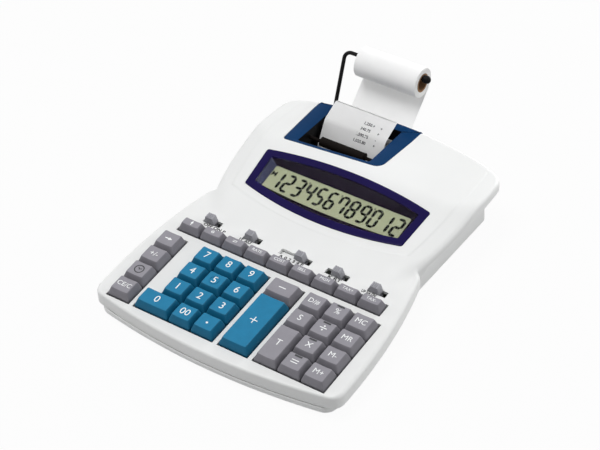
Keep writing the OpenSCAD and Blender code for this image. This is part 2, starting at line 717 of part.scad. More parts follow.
module case_openings() {
    translate([wire_x, rear_wall_y(wire_x) + wall, wire_leg_z]) rotate([90, 0, 0])
        cylinder(r = wire_r + wire_gap, h = wire_grip + wall);
    translate([jack_x, rear_wall_y(jack_x) + wall, jack_z]) rotate([90, 0, 0])
        cylinder(r = jack_r, h = jack_depth + wall);
    on_deck() translate([paper_x, SLOT[0], SLOT[1]]) cube([mouth_w, 8 * wall, slot_h], center = true);
    at_screws() cylinder(r = screw_r + screw_gap, h = FAR);
    at_screws() cylinder(r = screw_head_r + screw_gap, h = foot_h + screw_head_h + screw_gap);
}
module rear_socket(x, z, r, depth) translate([x, rear_wall_y(x) - wall / 2, z]) rotate([90, 0, 0])
    cylinder(r = r + socket_wall, h = depth + socket_wall - wall / 2);
module board_posts() difference() {
    for (x = [-1, 0, 1]) for (v = [board_front + 2 * post_r, board_rear - post_r])
        translate([x * (board_half - 4 * post_r), deck_y(v, board_bottom), foot_h]) cylinder(r = post_r, h = FAR);
    on_deck() translate([-FAR, -FAR, board_bottom]) cube(2 * FAR);
}

module printer_trim() color(NAVY) difference() {
    intersection() {
        union() {
            on_panel() translate([0, 0, -trim_t]) linear_extrude(trim_t) trim_plan(0);
            on_panel() translate([0, 0, -trim_well]) linear_extrude(trim_well) mouth_plan(trim_wall);
        }
        column() hood_plan(0);
        under_top(0);
    }
    on_panel() translate([0, 0, -FAR / 2]) linear_extrude(FAR) mouth_plan(0);
    shaft_notch();
}
// The trim's inner walls drop over the ink roller's shaft
module shaft_notch() {
    r = shaft_r + shaft_room;
    length = mouth_w + 4 * trim_wall;
    shaft_at(INK, length, r);
    on_deck() translate([paper_x - length / 2, INK[0] - r, INK[1] - FAR]) cube([length, 2 * r, FAR]);
}

module display_lens() color("#2a2370") on_hood() translate([0, 0, lens_proud - lens_t])
    linear_extrude(lens_t) lens_plan(0);

module lcd_panel() color("#b9c09a") on_hood() translate([0, 0, -wall - lcd_t])
    linear_extrude(lcd_t) lcd_plan(lcd_margin);

module key_mat() color("#5a5a5e") on_deck() difference() {
    union() {
        translate([-board_half, board_front, board_top])
            cube([2 * board_half, mat_rear - board_front, mat_t]);
        for (k = KEYS) translate([k[1] + k[3] / 2, k[2] + k[4] / 2, board_top + mat_t / 2])
            cylinder(r = plunger_r + plunger_gap + collar_wall, h = collar_top - board_top - mat_t / 2);
    }
    for (k = KEYS) translate([k[1] + k[3] / 2, k[2] + k[4] / 2, mat_top])
        cylinder(r = plunger_r + plunger_gap, h = FAR);
}

module main_board() color("#2f6b45") on_deck() translate([-board_half, board_front, board_bottom])
    cube([2 * board_half, board_rear - board_front, board_t]);

// A key: an upright foot, four sloping sides, a dished top, a hollow and a plunger
module key_blank(w, d, inset, h, bottom) {
    x0 = key_gap / 2 + inset;
    intersection() {
        translate([w / 2, 0, 0]) across(w) polygon([[x0, bottom], [d - x0, bottom], [d - x0, key_foot],
            [d - x0 - key_rear_in, h], [x0 + key_front_in, h], [x0, key_foot]]);
        along(d) polygon([[x0, bottom], [w - x0, bottom], [w - x0, key_foot],
            [w - x0 - key_side_in, h], [x0 + key_side_in, h], [x0, key_foot]]);
    }
}
module key(k) {
    w = k[3];
    d = k[4];
    top_half = w / 2 - key_gap / 2 - key_side_in;
    dish_r = (top_half * top_half + key_dish * key_dish) / (2 * key_dish);
    color(k[5]) on_deck() translate([k[1], k[2], 0]) {
        difference() {
            key_blank(w, d, 0, key_h, -wall);
            translate([w / 2, -wall, key_h - key_dish + dish_r]) rotate([-90, 0, 0])
                cylinder(r = dish_r, h = d + 2 * wall, $fn = 180);
            key_blank(w, d, key_wall, key_h - key_dish - key_wall, -2 * wall);
        }
        translate([w / 2, d / 2, plunger_bottom])
            cylinder(r = plunger_r, h = key_h - key_dish - key_wall / 2 - plunger_bottom);
    }
}

// A switch: a ridged knob, a neck through the slot and a plate under the deck
module switch_knob(s) {
    plate_top = -wall - switch_gap;
    color(GREY) on_deck() translate([s[1] + s[3], switch_v, 0]) {
        difference() {
            along_middle(knob_d) polygon([[-knob_w / 2, switch_gap], [knob_w / 2, switch_gap],
                [knob_top_w / 2, knob_h], [-knob_top_w / 2, knob_h]]);
            for (i = [-1, 0, 1]) translate([i * knob_top_w / 4, 0, knob_h])
                cube([knob_groove, 2 * knob_d, 2 * knob_groove], center = true);
        }
        translate([-neck_w / 2, -neck_d / 2, plate_top - knob_plate / 2])
            cube([neck_w, neck_d, knob_h / 2 - plate_top]);
        translate([-knob_w / 2, -knob_d / 2, plate_top - knob_plate]) cube([knob_w, knob_d, knob_plate]);
    }
}
module along_middle(length) translate([0, -length / 2, 0]) along(length) children();

// Printer: side plates on a base plate, with bores for the two roller shafts
frame_half = mouth_w / 2 + trim_wall + frame_gap;
module shaft_at(p, length, r) on_deck() translate([paper_x, p[0], p[1]]) rotate([0, 90, 0])
    cylinder(r = r, h = length, center = true);
module printer_frame() color("#77787c") {
    front_y = deck_y(ink_v - ink_r, ink_z);
    depth = deck_y(PLATEN[0] + platen_r, PLATEN[1]) - front_y;
    height = deck_z(ink_v, ink_z + ink_r) - floor_z;
    difference() {
        for (x = [-frame_half - frame_t, frame_half]) translate([paper_x + x, front_y, floor_z])
            cube([frame_t, depth, height]);
        shaft_at(PLATEN, FAR, shaft_r + shaft_gap);
        shaft_at(INK, FAR, shaft_r + shaft_gap);
    }
    translate([paper_x - frame_half - frame_t / 2, front_y, floor_z])
        cube([2 * frame_half + frame_t, depth, frame_t]);
}
shaft_l = 2 * (frame_half + frame_t + shaft_over);
module platen_roller() color("#2a2a2c") {
    shaft_at(PLATEN, paper_w, platen_r);
    shaft_at(PLATEN, shaft_l, shaft_r);
    on_deck() translate([paper_x - frame_half + gear_gap, PLATEN[0], PLATEN[1]]) rotate([0, 90, 0])
        cylinder(r = gear_r, h = gear_w);
}
module ink_roller() color("#4a2f22") {
    shaft_at(INK, ink_l, ink_r);
    shaft_at(INK, shaft_l, shaft_r);
}

module paper_strip() color("white") on_deck() across(paper_w, paper_x) polygon(concat(
    [for (i = [0:len(ROUTE) - 1]) ROUTE[i] + route_normal(i) * paper_t / 2],
    [for (i = [len(ROUTE) - 1:-1:0]) ROUTE[i] - route_normal(i) * paper_t / 2]));

module roll_ring(outer, inner) on_deck() translate([paper_x, roll_v, roll_z]) rotate([0, 90, 0]) difference() {
    cylinder(r = outer, h = paper_w, center = true);
    cylinder(r = inner, h = paper_w + 2, center = true);
}
module paper_roll() color("white") roll_ring(roll_r, core_r + core_gap);
module roll_core() color("#8a6a4a") roll_ring(core_r, core_bore_r);

// The wire's line: each place with its direction, from the socket over two bends to the spindle's end
POST = [0, sin(wire_lean), cos(wire_lean)];
OUT = [1, 0, 0];
UP_IN = [0, -cos(wire_lean), sin(wire_lean)];
bend_steps = 10;
LEG = [wire_x, rear_wall_y(wire_x) - wire_grip + wire_gap, wire_leg_z];
FOOT_C = [wire_x, foot_y - foot_t, wire_leg_z + wire_bend_r];
TOP_C = CORNER + wire_bend_r * (OUT - POST);
WIRE = concat(
    [[LEG, [0, 1, 0]]],
    [for (i = [0:bend_steps]) let (a = foot_turn * i / bend_steps)
        [FOOT_C + wire_bend_r * [0, sin(a), -cos(a)], [0, cos(a), sin(a)]]],
    [for (i = [0:bend_steps]) let (a = 90 * i / bend_steps)
        [TOP_C + wire_bend_r * (POST * sin(a) - OUT * cos(a)), OUT * sin(a) + POST * cos(a)]],
    [[[spindle_end, CORNER[1], CORNER[2]], OUT]]);
wire_sides = 24;
function ring_point(place, way, a) =
    let (e = unit(UP_IN - way * (UP_IN * way))) place + wire_r * (e * cos(a) + cross(way, e) * sin(a));
module roll_wire() color(INK_BLACK) polyhedron(
    points = [for (s = WIRE) for (i = [0:wire_sides - 1]) ring_point(s[0], s[1], i * 360 / wire_sides)],
    faces = concat(
        [[for (i = [0:wire_sides - 1]) i]],
        [for (s = [1:len(WIRE) - 1]) for (i = [0:wire_sides - 1]) let (j = (i + 1) % wire_sides)
            [(s - 1) * wire_sides + j, (s - 1) * wire_sides + i, s * wire_sides + i, s * wire_sides + j]],
        [[for (i = [wire_sides - 1:-1:0]) (len(WIRE) - 1) * wire_sides + i]]));
module wire_cap() color(INK_BLACK) translate([paper_x + paper_w / 2 + cap_gap, CORNER[1], CORNER[2]])
    rotate([0, 90, 0]) difference() {
        union() {
            cylinder(r = cap_r, h = cap_l - cap_r);
            translate([0, 0, cap_l - cap_r]) sphere(cap_r);
        }
        translate([0, 0, -cap_gap]) cylinder(r = wire_r + wire_gap, h = spindle_over + cap_l / 2 + wire_gap);
    }

FEET = [SCREWS[0] - [foot_away, 0], SCREWS[1] - [0, foot_away]];
module rubber_feet() color("#3a3a3c") for (p = FEET) for (side = [-1, 1]) translate([side * p[0], p[1], 0])
    cylinder(r = foot_r, h = foot_h);

module case_screws() color("#9a9a9a") at_screws() {
    translate([0, 0, foot_h + screw_gap]) cylinder(r = screw_head_r, h = screw_head_h);
    translate([0, 0, foot_h + screw_head_h / 2]) cylinder(r = screw_r, h = screw_top - foot_h - screw_head_h / 2);
}

upper_cover();
lower_case();
printer_trim();
display_lens();
lcd_panel();
key_mat();
main_board();
printer_frame();
platen_roller();
ink_roller();
paper_roll();
roll_core();
roll_wire();
wire_cap();
paper_strip();
rubber_feet();
case_screws();
for (k = KEYS) key(k);
for (s = SWITCHES) switch_knob(s);
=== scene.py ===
"""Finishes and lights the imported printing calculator, laid out as an add-on and run as a script."""
import math

import bmesh
import bpy
from bpy.props import FloatProperty, FloatVectorProperty, IntProperty, PointerProperty
from mathutils import Matrix, Vector


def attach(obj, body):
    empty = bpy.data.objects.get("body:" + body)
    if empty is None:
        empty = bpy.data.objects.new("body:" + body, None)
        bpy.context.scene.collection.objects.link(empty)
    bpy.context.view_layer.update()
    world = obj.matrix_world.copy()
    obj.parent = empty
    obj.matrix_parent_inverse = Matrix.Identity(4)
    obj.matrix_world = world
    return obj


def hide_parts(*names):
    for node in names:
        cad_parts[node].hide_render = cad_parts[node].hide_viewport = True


bl_info = {
    "name": "Printing Calculator",
    "version": (1, 0, 0),
    "blender": (4, 5, 0),
    "location": "View3D > Sidebar > Calculator",
    "description": "Builds the finished shells, keys, display, printer and paper of a printing calculator",
    "category": "Object",
}

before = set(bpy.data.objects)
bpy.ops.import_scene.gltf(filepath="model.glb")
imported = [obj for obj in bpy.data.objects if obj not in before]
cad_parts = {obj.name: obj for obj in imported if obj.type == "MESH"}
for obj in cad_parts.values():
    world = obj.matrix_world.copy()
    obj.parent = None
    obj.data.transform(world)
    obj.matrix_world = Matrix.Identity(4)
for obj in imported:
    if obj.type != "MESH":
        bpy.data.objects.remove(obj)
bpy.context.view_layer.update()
MM = 0.001


# Sizes that follow the solids, in millimetres
DECK_SLOPE = math.radians(5)
DECK_H = 20.0
KEY_SETBACK = 11.5
ROLL_V, ROLL_Z, ROLL_R = 286.0, 25.0, 12.3
DEPTH = KEY_SETBACK + ROLL_V * math.cos(DECK_SLOPE) - ROLL_Z * math.sin(DECK_SLOPE) + ROLL_R
Y_FRONT = -DEPTH / 2
Y_KEYS = Y_FRONT + KEY_SETBACK

# Outlines of the cover and the lower case
HALF_W, CORNER_R = 109.0, 10.0
FRONT_BOW_R, SIDE_R, SIDE_WIDE = 560.0, 420.0, 33.0
WAIST_V, WAIST_R, WAIST_RISE = 131.0, 9.0, 0.6
HOOD_HALF, HOOD_SIDE_R, HOOD_WIDE_V, HOOD_CORNER_R = 100.5, 306.0, 203.0, 15.0
REAR_V, REAR_BOW_R = 257.5, 311.0
BASE_HALF, BASE_CORNER_R, BASE_IN = 87.0, 3.0, 9.5
BASE_PROUD, BASE_TUCK, BASE_SHORT = 0.35, 5.6, 1.8
FRONT_STEPS, CORNER_STEPS, SIDE_STEPS, WAIST_STEPS, HOOD_STEPS = 36, 8, 44, 6, 56

# Walls, top and joint of the case
WALL, SKIRT, FLOOR_Z, FOOT_H = 2.5, 11.0, 4.5, 2.0
HOOD_V, HOOD_SLOPE = 95.6, math.radians(7.4)
CREST_V, PANEL_SLOPE = 188.0, math.radians(7.1)
CREST_Z = (CREST_V - HOOD_V) * math.tan(HOOD_SLOPE)
SHOULDER_X, SHOULDER_SOFT, CREST_SOFT = 81.0, 8.0, 1.6
SHOULDER_SLOPE, REAR_SHOULDER_SLOPE = math.radians(13), math.radians(4)
BLEND_FROM, BLEND_TO = 7.4, 30.4
PANEL_C, PANEL_R, PANEL_IN, PANEL_STEP, PANEL_H = 321.4, 291.6, 13.0, 0.4, 8.0
STEP_FROM, STEP_RUN, STEP_W = 106.0, 16.0, 1.4
HOOD_ROUND_V, HOOD_ROUND_RUN = 118.0, 22.0
PARTING = ((WAIST_V, -SKIRT), (139.0, -3.0), (CREST_V, 1.2), (REAR_V, -5.5))
PARTING_GAP, LIP_GAP, LIP_H = 0.6, 0.3, 1.2
CUT_TOP = 9.0
SCREW_SIDE, SCREW_FRONT, SCREW_IN = 11.0, 26.0, 9.0
SCREW_HOLE = ((-3, 2.9), (3.9, 2.9), (3.9, 1.6), (12.0, 1.6))
FOOT_ASIDE = 15.0

# Display
LENS_FRONT, LENS_REAR, LENS_STEPS = (71.0, 45.8, 9.0), (74.0, 82.1, 8.0), 40
LENS_CORNER_R, LENS_GAP, LENS_SEAT = 2.2, 0.15, -1.6
WINDOW_HALF, WINDOW_FRONT, WINDOW_REAR, WINDOW_BOW = 61.3, 53.1, 74.4, 2.8
LCD_HALF, LCD_FRONT, LCD_REAR = 64.0, 47.0, 77.0
FIGURE_PITCH, FIGURE_X, FIGURE_V = 9.87, -52.9, 62.7
FIGURE_W, FIGURE_H, BAR_W, BAR_GAP, FIGURE_LEAN = 5.8, 15.8, 2.4, 0.0496, 0.02

# Keys and switches
PITCH_X, PITCH_Y = 20.1, 18.0
STRIPS = (15.6, 5.1, 4.8)
WIDE_W, ZERO_EXTRA = 25.7, 10.9
TOP_V, TOP_D = 79.3, 11.2
WELL_GAP = 0.7
KEY_FOOT, KEY_FRONT_IN, KEY_REAR_IN, KEY_SIDE_IN, KEY_WALL = 0.8, 2.8, 1.5, 2.3, 1.2
KEY_STEPS, KEY_ALONG = 4, 9
SWITCH_V, SWITCH_X, SWITCH_PITCH = 98.5, 1.5, 37.0
SWITCH_TRAVEL = (4.0, 4.0, 8.0, 4.0, 4.0)
SWITCH_REST = (0.0, 0.0, 8.0, 4.0, 0.0)
NECK_HALF, SWITCH_GAP, SWITCH_SLOT_HALF, SWITCH_SLOT_REACH = 2.0, 0.4, 2.8, 9.2

# Printer, paper and roll arm
TRIM_FRONT, TRIM_REAR, TRIM_LEFT_W, TRIM_RIGHT_W = 42.2, 46.0, 4.1, 12.9
TRIM_GAP, TRIM_SEAT = 0.2, -2.9
PAPER_X, PAPER_W, PAPER_GAP, PAPER_T = -28.0, 57.0, 0.35, 0.3
MOUTH_W, MOUTH_RIM, MOUTH_REAR = 62.0, 3.0, 61.07
PLATEN_R, PAPER_BEND = 7.0, 8.0
SLOT, SLOT_HALF = Vector((REAR_V - BASE_IN - WALL, -24.0)), 3.5
UNDER, BEND, STRIP_END = Vector((210.0, -19.0)), Vector((230.0, 7.5)), Vector((247.0, 13.5))
STRIP_HALF_T, TEAR_TEETH = 0.06, 57
ROW_FIRST, ROW_PITCH, AMOUNT_X, SIGN_X = 9.4, 5.2, 8.5, 19.5
INK_V, INK_Z, INK_HALF = 212.0, 1.5, 20.0
CORE_R, CORE_BORE = 7.8, 6.35
WIRE_X, WIRE_R, WIRE_BEND, WIRE_LEAN = -72.0, 1.6, 6.0, math.radians(22)
WIRE_LEG_Z, WIRE_GRIP = 15.0, 12.0
CAP_R, CAP_LONG = 3.2, 6.0
JACK_X, JACK_Z, JACK_R, JACK_DEPTH = 58.0, 16.0, 2.75, 9.0
SOCKETS = ((WIRE_X, WIRE_LEG_Z, WIRE_R + 0.05, WIRE_GRIP), (JACK_X, JACK_Z, JACK_R, JACK_DEPTH))
SLEEVE_T = 2.2


def deck_y(v, z):
    """World depth of a place on the deck: distance back, height over its plane."""
    return Y_KEYS + v * math.cos(DECK_SLOPE) - z * math.sin(DECK_SLOPE)


def deck_z(v, z):
    """World height of a place on the deck."""
    return DECK_H + v * math.sin(DECK_SLOPE) + z * math.cos(DECK_SLOPE)


def panel_z(v):
    """Height of the printer panel over the deck's plane."""
    return CREST_Z - (v - CREST_V) * math.tan(PANEL_SLOPE)


def tilted(x, y, z, angle):
    """A frame at a place, tilted about the X axis."""
    return Matrix.Translation((x, y, z)) @ Matrix.Rotation(angle, 4, "X")


WORLD = Matrix.Scale(MM, 4)
DECK = WORLD @ tilted(0, Y_KEYS, DECK_H, DECK_SLOPE)
HOOD = DECK @ tilted(0, HOOD_V, 0, HOOD_SLOPE)
PANEL = DECK @ tilted(0, CREST_V, CREST_Z, -PANEL_SLOPE)
HOOD_REAR_Y = deck_y(REAR_V, panel_z(REAR_V))
BOW_Y = HOOD_REAR_Y - REAR_BOW_R


def rear_wall_y(x):
    """World depth of the case's bowed rear wall."""
    return BOW_Y + math.sqrt((REAR_BOW_R - BASE_IN) ** 2 - x * x)


def linear(code):
    """A colour written as six hex digits, in linear light."""
    parts = [int(code[i:i + 2], 16) / 255 for i in (0, 2, 4)]
    return tuple(c / 12.92 if c <= 0.04045 else ((c + 0.055) / 1.055) ** 2.4 for c in parts)


def length(name, words, default):
    """A size in millimetres that a user may change."""
    return FloatProperty(name=name, description=words, default=default * MM, unit="LENGTH",
                         subtype="DISTANCE", precision=5)


def colour(name, words, code):
    """A colour that a user may change."""
    return FloatVectorProperty(name=name, description=words, default=linear(code), subtype="COLOR",
                               min=0, max=1)


class CALCULATOR_PG_sizes(bpy.types.PropertyGroup):
    """Sizes of the finish that the solids leave open."""
    front_round: length("Front rounding", "Rounding of the cover's top edge in front", 1.8)
    side_round: length("Side rounding", "Rounding of the cover's top edge beside the keys", 3.5)
    hood_round: length("Hood rounding", "Rounding of the cover's top edge round the hood", 3.4)
    base_round: length("Base rounding", "Rounding of the case's bottom edge", 2.6)
    base_edge: length("Base edge", "Rounding of the case's upper edge in front", 0.7)
    key_gap: length("Key gap", "Gap between neighbouring keys", 0.8)
    key_round: length("Key rounding", "Rounding of a key's top edge", 0.75)
    key_corner: length("Key corner", "Rounding of a key's upright corners", 1.1)
    key_height: length("Key height", "Height of a key over the deck", 6.6)
    key_dish: length("Key dish", "Depth of the dished top of a key", 0.5)
    legend_lift: length("Legend lift", "Thickness of the printed legends", 0.05)
    ring_lift: length("Ring lift", "Height of the raised ring on the five", 0.3)
    lens_band: length("Lens band", "Width of the lens's coloured band", 6.6)
    lcd_depth: length("LCD depth", "Depth of the display under the hood's surface", 5.7)
    wire_sides: IntProperty(name="Wire sides", description="Faces round the wire", default=24, min=8)


class CALCULATOR_PG_colours(bpy.types.PropertyGroup):
    """Colours of the finishes."""
    shell: colour("Shell", "White plastic of the cover and the case", "e9eae9")
    teal: colour("Teal key", "Plastic of the number keys", "1f7aa2")
    grey: colour("Grey key", "Plastic of the function keys", "918f96")
    legend: colour("Legend", "Print on the keys", "f2f4f4")
    mark: colour("Mark", "Dark print on the deck and the keys", "2b2c30")
    navy: colour("Trim", "Plastic of the printer trim", "0a355f")
    indigo: colour("Lens band", "Coloured band of the display lens", "1a1248")
    mask: colour("Lens mask", "Dark mask inside the lens's band", "0c0612")
    lcd: colour("LCD", "Background of the display", "787c62")
    segment: colour("Segment", "Figures of the display", "060605")
    paper: colour("Paper", "Paper of the roll and the strip", "fcfcfb")
    print_ink: colour("Print", "Figures printed on the paper", "34343a")
    card: colour("Card", "Card of the roll's core", "8d6a48")
    # The same black also covers the trim's skirt, rear edge and inner walls, where it is painted shade.
    black: colour("Black", "Lacquer of the wire arm and its cap", "0b0b0c")
    knob: colour("Knob", "Plastic of the slide switches", "9c9ca2")
    # A lighter tone for the left wall of the well under the lens: a painted reflection.
    sheen: colour("Sheen", "Lit wall of the well under the lens", "20243c")
    rubber: colour("Rubber", "Rubber of the feet and the platen", "1c1c1e")
    foam: colour("Ink foam", "Foam of the ink roller", "0e0907")
    steel: colour("Steel", "Steel of the screws", "8d8e92")
    plates: colour("Plates", "Blackened steel of the printer's frame", "1a1a1c")
    board: colour("Board", "Lacquer of the main board", "2f6b45")
    mat: colour("Mat", "Rubber of the key mat", "55565a")
    window: FloatVectorProperty(name="Window", description="Clear acrylic over the figures",
                                default=(0.97, 0.97, 1.0), subtype="COLOR", min=0, max=1)


class CALCULATOR_PG_settings(bpy.types.PropertyGroup):
    """All settings of the calculator's finish."""
    sizes: PointerProperty(type=CALCULATOR_PG_sizes)
    colours: PointerProperty(type=CALCULATOR_PG_colours)


def size(name):
    """A size from the settings, in millimetres."""
    return getattr(bpy.context.scene.calculator.sizes, name) / MM


def tone(name):
    """A colour from the settings, with full alpha."""
    return (*getattr(bpy.context.scene.calculator.colours, name), 1.0)


# Meshes


def grow(bm, edges, ring):
    """Extrudes a skin's open edges to the next ring: the new open edges and the new faces."""
    seat = bm.verts.layers.int["seat"]
    grown = bmesh.ops.extrude_edge_only(bm, edges=edges)["geom"]
    verts = {g for g in grown if isinstance(g, bmesh.types.BMVert)}
    for vert in verts:
        vert.co = ring[vert[seat]]
    rim = [g for g in grown if isinstance(g, bmesh.types.BMEdge) and set(g.verts) <= verts]
    return rim, [g for g in grown if isinstance(g, bmesh.types.BMFace)]


def loft(rings, closed=False, mats=None):
    """A skin over rings of equal count. Closed joins the last ring to the first."""
    bm = bmesh.new()
    seat = bm.verts.layers.int.new("seat")
    made = bmesh.ops.create_circle(bm, segments=len(rings[0]), radius=1.0)["verts"]
    for i, vert in enumerate(made):
        vert[seat] = i
        vert.co = rings[0][i]
    first = edges = list(bm.edges)
    for step, ring in enumerate(rings[1:]):
        edges, faces = grow(bm, edges, ring)
        for face in faces:
            face.material_index = mats[step] if mats else 0
    if closed:
        bmesh.ops.bridge_loops(bm, edges=first + edges)
    else:
        bmesh.ops.edgeloop_fill(bm, edges=first)
        bmesh.ops.edgeloop_fill(bm, edges=edges)
    bmesh.ops.recalc_face_normals(bm, faces=bm.faces)
    return bm


def lathe(profile, sides, closed=False, tooth=None):
    """A skin turned about the X axis from (x, radius) pairs. tooth gives factors of the radius."""
    rings = []
    for place, (x, radius) in enumerate(profile):
        ring = []
        for i in range(sides):
            angle = 2 * math.pi * i / sides
            r = radius * (tooth(place, i, sides) if tooth else 1.0)
            ring.append(Vector((x, r * math.cos(angle), r * math.sin(angle))))
        rings.append(ring)
    return loft(rings, closed=closed)


def rounded_rect(x0, x1, y0, y1, r, z, steps=6, along=0):
    """A ring round a rectangle with rounded corners, with more points along its straight sides if asked."""
    r = min(r, (x1 - x0) / 2 - 1e-4, (y1 - y0) / 2 - 1e-4)
    ring = []
    for k, (cx, cy) in enumerate(((x1 - r, y1 - r), (x0 + r, y1 - r), (x0 + r, y0 + r), (x1 - r, y0 + r))):
        corner = flat_points(arc((cx, cy), r, math.pi / 2 * k, math.pi / 2 * (k + 1), steps), z)
        if ring:
            ring += [ring[-1].lerp(corner[0], i / (along + 1)) for i in range(1, along + 1)]
        ring += corner
    return ring + [ring[-1].lerp(ring[0], i / (along + 1)) for i in range(1, along + 1)]


def flat_points(points, z):
    """A ring of plan points at one height."""
    return [Vector((p[0], p[1], z)) for p in points]


def arc(centre, r, start, end, steps):
    """Points on an arc, ends included. Angles in radians."""
    return [Vector((centre[0] + r * math.cos(start + (end - start) * i / steps),
                    centre[1] + r * math.sin(start + (end - start) * i / steps))) for i in range(steps + 1)]


def heading(v):
    """Angle of a plan vector."""
    return math.atan2(v[1], v[0])


def outward(points, spread=2):
    """Outward normals of a closed loop that runs anticlockwise."""
    n = len(points)
    normals = []
    for i in range(n):
        t = points[(i + spread) % n] - points[(i - spread) % n]
        normals.append(Vector((t.y, -t.x)).normalized())
    return normals


def inset_loop(points, normals, d):
    """A closed loop moved inwards."""
    return [p - m * d for p, m in zip(points, normals)]


def corner_cut(a, b, c, r, steps):
    """Points that round the corner b of a path a, b, c."""
    p, q = (a - b).normalized(), (c - b).normalized()
    half = math.acos(max(-1, min(1, p.dot(q)))) / 2
    centre = b + (p + q).normalized() * r / math.sin(half)
    t = r / math.tan(half)
    start, end = heading(b + p * t - centre), heading(b + q * t - centre)
    sweep = (end - start + math.pi) % (2 * math.pi) - math.pi
    return arc(centre, r, start, start + sweep, steps)


def prism(points, z0, z1, matrix):
    """A cutter with a plan outline between two heights."""
    bm = loft([flat_points(points, z0), flat_points(points, z1)])
    bm.transform(matrix)
    return bm


def box_points(x0, x1, y0, y1):
    """Corners of a plan rectangle."""
    return [Vector(p) for p in ((x0, y0), (x1, y0), (x1, y1), (x0, y1))]


def joined(parts):
    """Several meshes in one."""
    bm = bmesh.new()
    for part in parts:
        mesh = bpy.data.meshes.new("part")
        part.to_mesh(mesh)
        part.free()
        bm.from_mesh(mesh)
        bpy.data.meshes.remove(mesh)
    return bm


def settled(obj):
    """The mesh of an object with its modifiers applied."""
    bpy.context.view_layer.update()
    graph = bpy.context.evaluated_depsgraph_get()
    return bpy.data.meshes.new_from_object(obj.evaluated_get(graph))


def as_object(name, bm):
    """An object that holds a bmesh, which is used up."""
    mesh = bpy.data.meshes.new(name)
    bm.to_mesh(mesh)
    bm.free()
    obj = bpy.data.objects.new(name, mesh)
    bpy.context.scene.collection.objects.link(obj)
    return obj


def cut(bm, *rounds, wall=0.0):
    """A mesh with cutters taken away, one round after another. An open skin first gets a wall."""
    obj = as_object("blank", bm)
    cutters = []
    if wall:
        mod = obj.modifiers.new("wall", "SOLIDIFY")
        mod.thickness = wall * MM
        mod.offset = -1.0
    for parts in rounds:
        cutter = as_object("cutter", joined(parts))
        mod = obj.modifiers.new("cut", "BOOLEAN")
        mod.operation = "DIFFERENCE"
        mod.solver = "EXACT"
        mod.object = cutter
        cutters.append(cutter)
    mesh = settled(obj)
    out = bmesh.new()
    out.from_mesh(mesh)
    for spare in (obj, *cutters):
        data = spare.data
        bpy.data.objects.remove(spare)
        bpy.data.meshes.remove(data)
    bpy.data.meshes.remove(mesh)
    return out


def paint(bm, index, wanted=lambda face: True):
    """Gives the wanted faces one of a piece's finishes."""
    for face in bm.faces:
        if wanted(face):
            face.material_index = index


def finish_piece(name, bm, finishes, body, nodes=(), sharp=35.0):
    """Makes a piece from a bmesh in metres, smooth between its sharp edges, and sets it on its body."""
    obj = as_object(name, bm)
    for finish in finishes:
        obj.data.materials.append(finished(finish))
    obj.data.shade_smooth()
    obj.data.set_sharp_from_angle(angle=math.radians(sharp))
    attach(obj, body)
    if nodes:
        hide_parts(*nodes)


def refined(node, width):
    """A copy of a solid with its sharp edges rounded."""
    bm = bmesh.new()
    bm.from_mesh(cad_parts[node].data)
    bmesh.ops.remove_doubles(bm, verts=bm.verts, dist=0.00001)
    bmesh.ops.dissolve_limit(bm, angle_limit=math.radians(1.0), verts=bm.verts, edges=bm.edges)
    edges = [e for e in bm.edges if len(e.link_faces) == 2 and e.calc_face_angle(0) > math.radians(30)]
    bmesh.ops.bevel(bm, geom=edges, offset=width * MM, offset_type="OFFSET", segments=2, profile=0.5,
                    affect="EDGES", material=-1, clamp_overlap=True)
    return bm


def words(text, height, weight=0.0):
    """Flat lettering in millimetres, centred on the origin, as a bmesh."""
    curve = bpy.data.curves.new("words", "FONT")
    curve.body = text
    curve.size = height * 1.4  # a capital is about 0.7 of the font's size
    curve.align_x, curve.align_y = "CENTER", "CENTER"
    curve.offset = weight
    curve.resolution_u = 4
    obj = bpy.data.objects.new("words", curve)
    bpy.context.scene.collection.objects.link(obj)
    mesh = settled(obj)
    bm = bmesh.new()
    bm.from_mesh(mesh)
    bmesh.ops.remove_doubles(bm, verts=bm.verts, dist=0.0005)
    bpy.data.objects.remove(obj)
    bpy.data.curves.remove(curve)
    bpy.data.meshes.remove(mesh)
    return bm


def plate(points):
    """A flat face with a plan outline."""
    bm = bmesh.new()
    made = bmesh.ops.create_circle(bm, cap_ends=True, segments=len(points), radius=1.0)["verts"]
    for vert, p in zip(made, points):
        vert.co = (p[0], p[1], 0.0)
    return bm


def face_up(bm):
    """Turns an open skin so that its top looks up."""
    bmesh.ops.recalc_face_normals(bm, faces=bm.faces)
    if sum(f.normal.z * f.calc_area() for f in bm.faces) < 0:
        bmesh.ops.reverse_faces(bm, faces=bm.faces)


def thickened(bm, lift, mat=0):
    """Flat lettering made a thin closed plate that stands on its surface."""
    paint(bm, mat)
    face_up(bm)
    base = list(bm.faces)
    grown = bmesh.ops.extrude_face_region(bm, geom=base, use_keep_orig=True)["geom"]
    bmesh.ops.translate(bm, verts=[g for g in grown if isinstance(g, bmesh.types.BMVert)], vec=(0, 0, lift))
    bmesh.ops.reverse_faces(bm, faces=base)
    return bm


# Materials


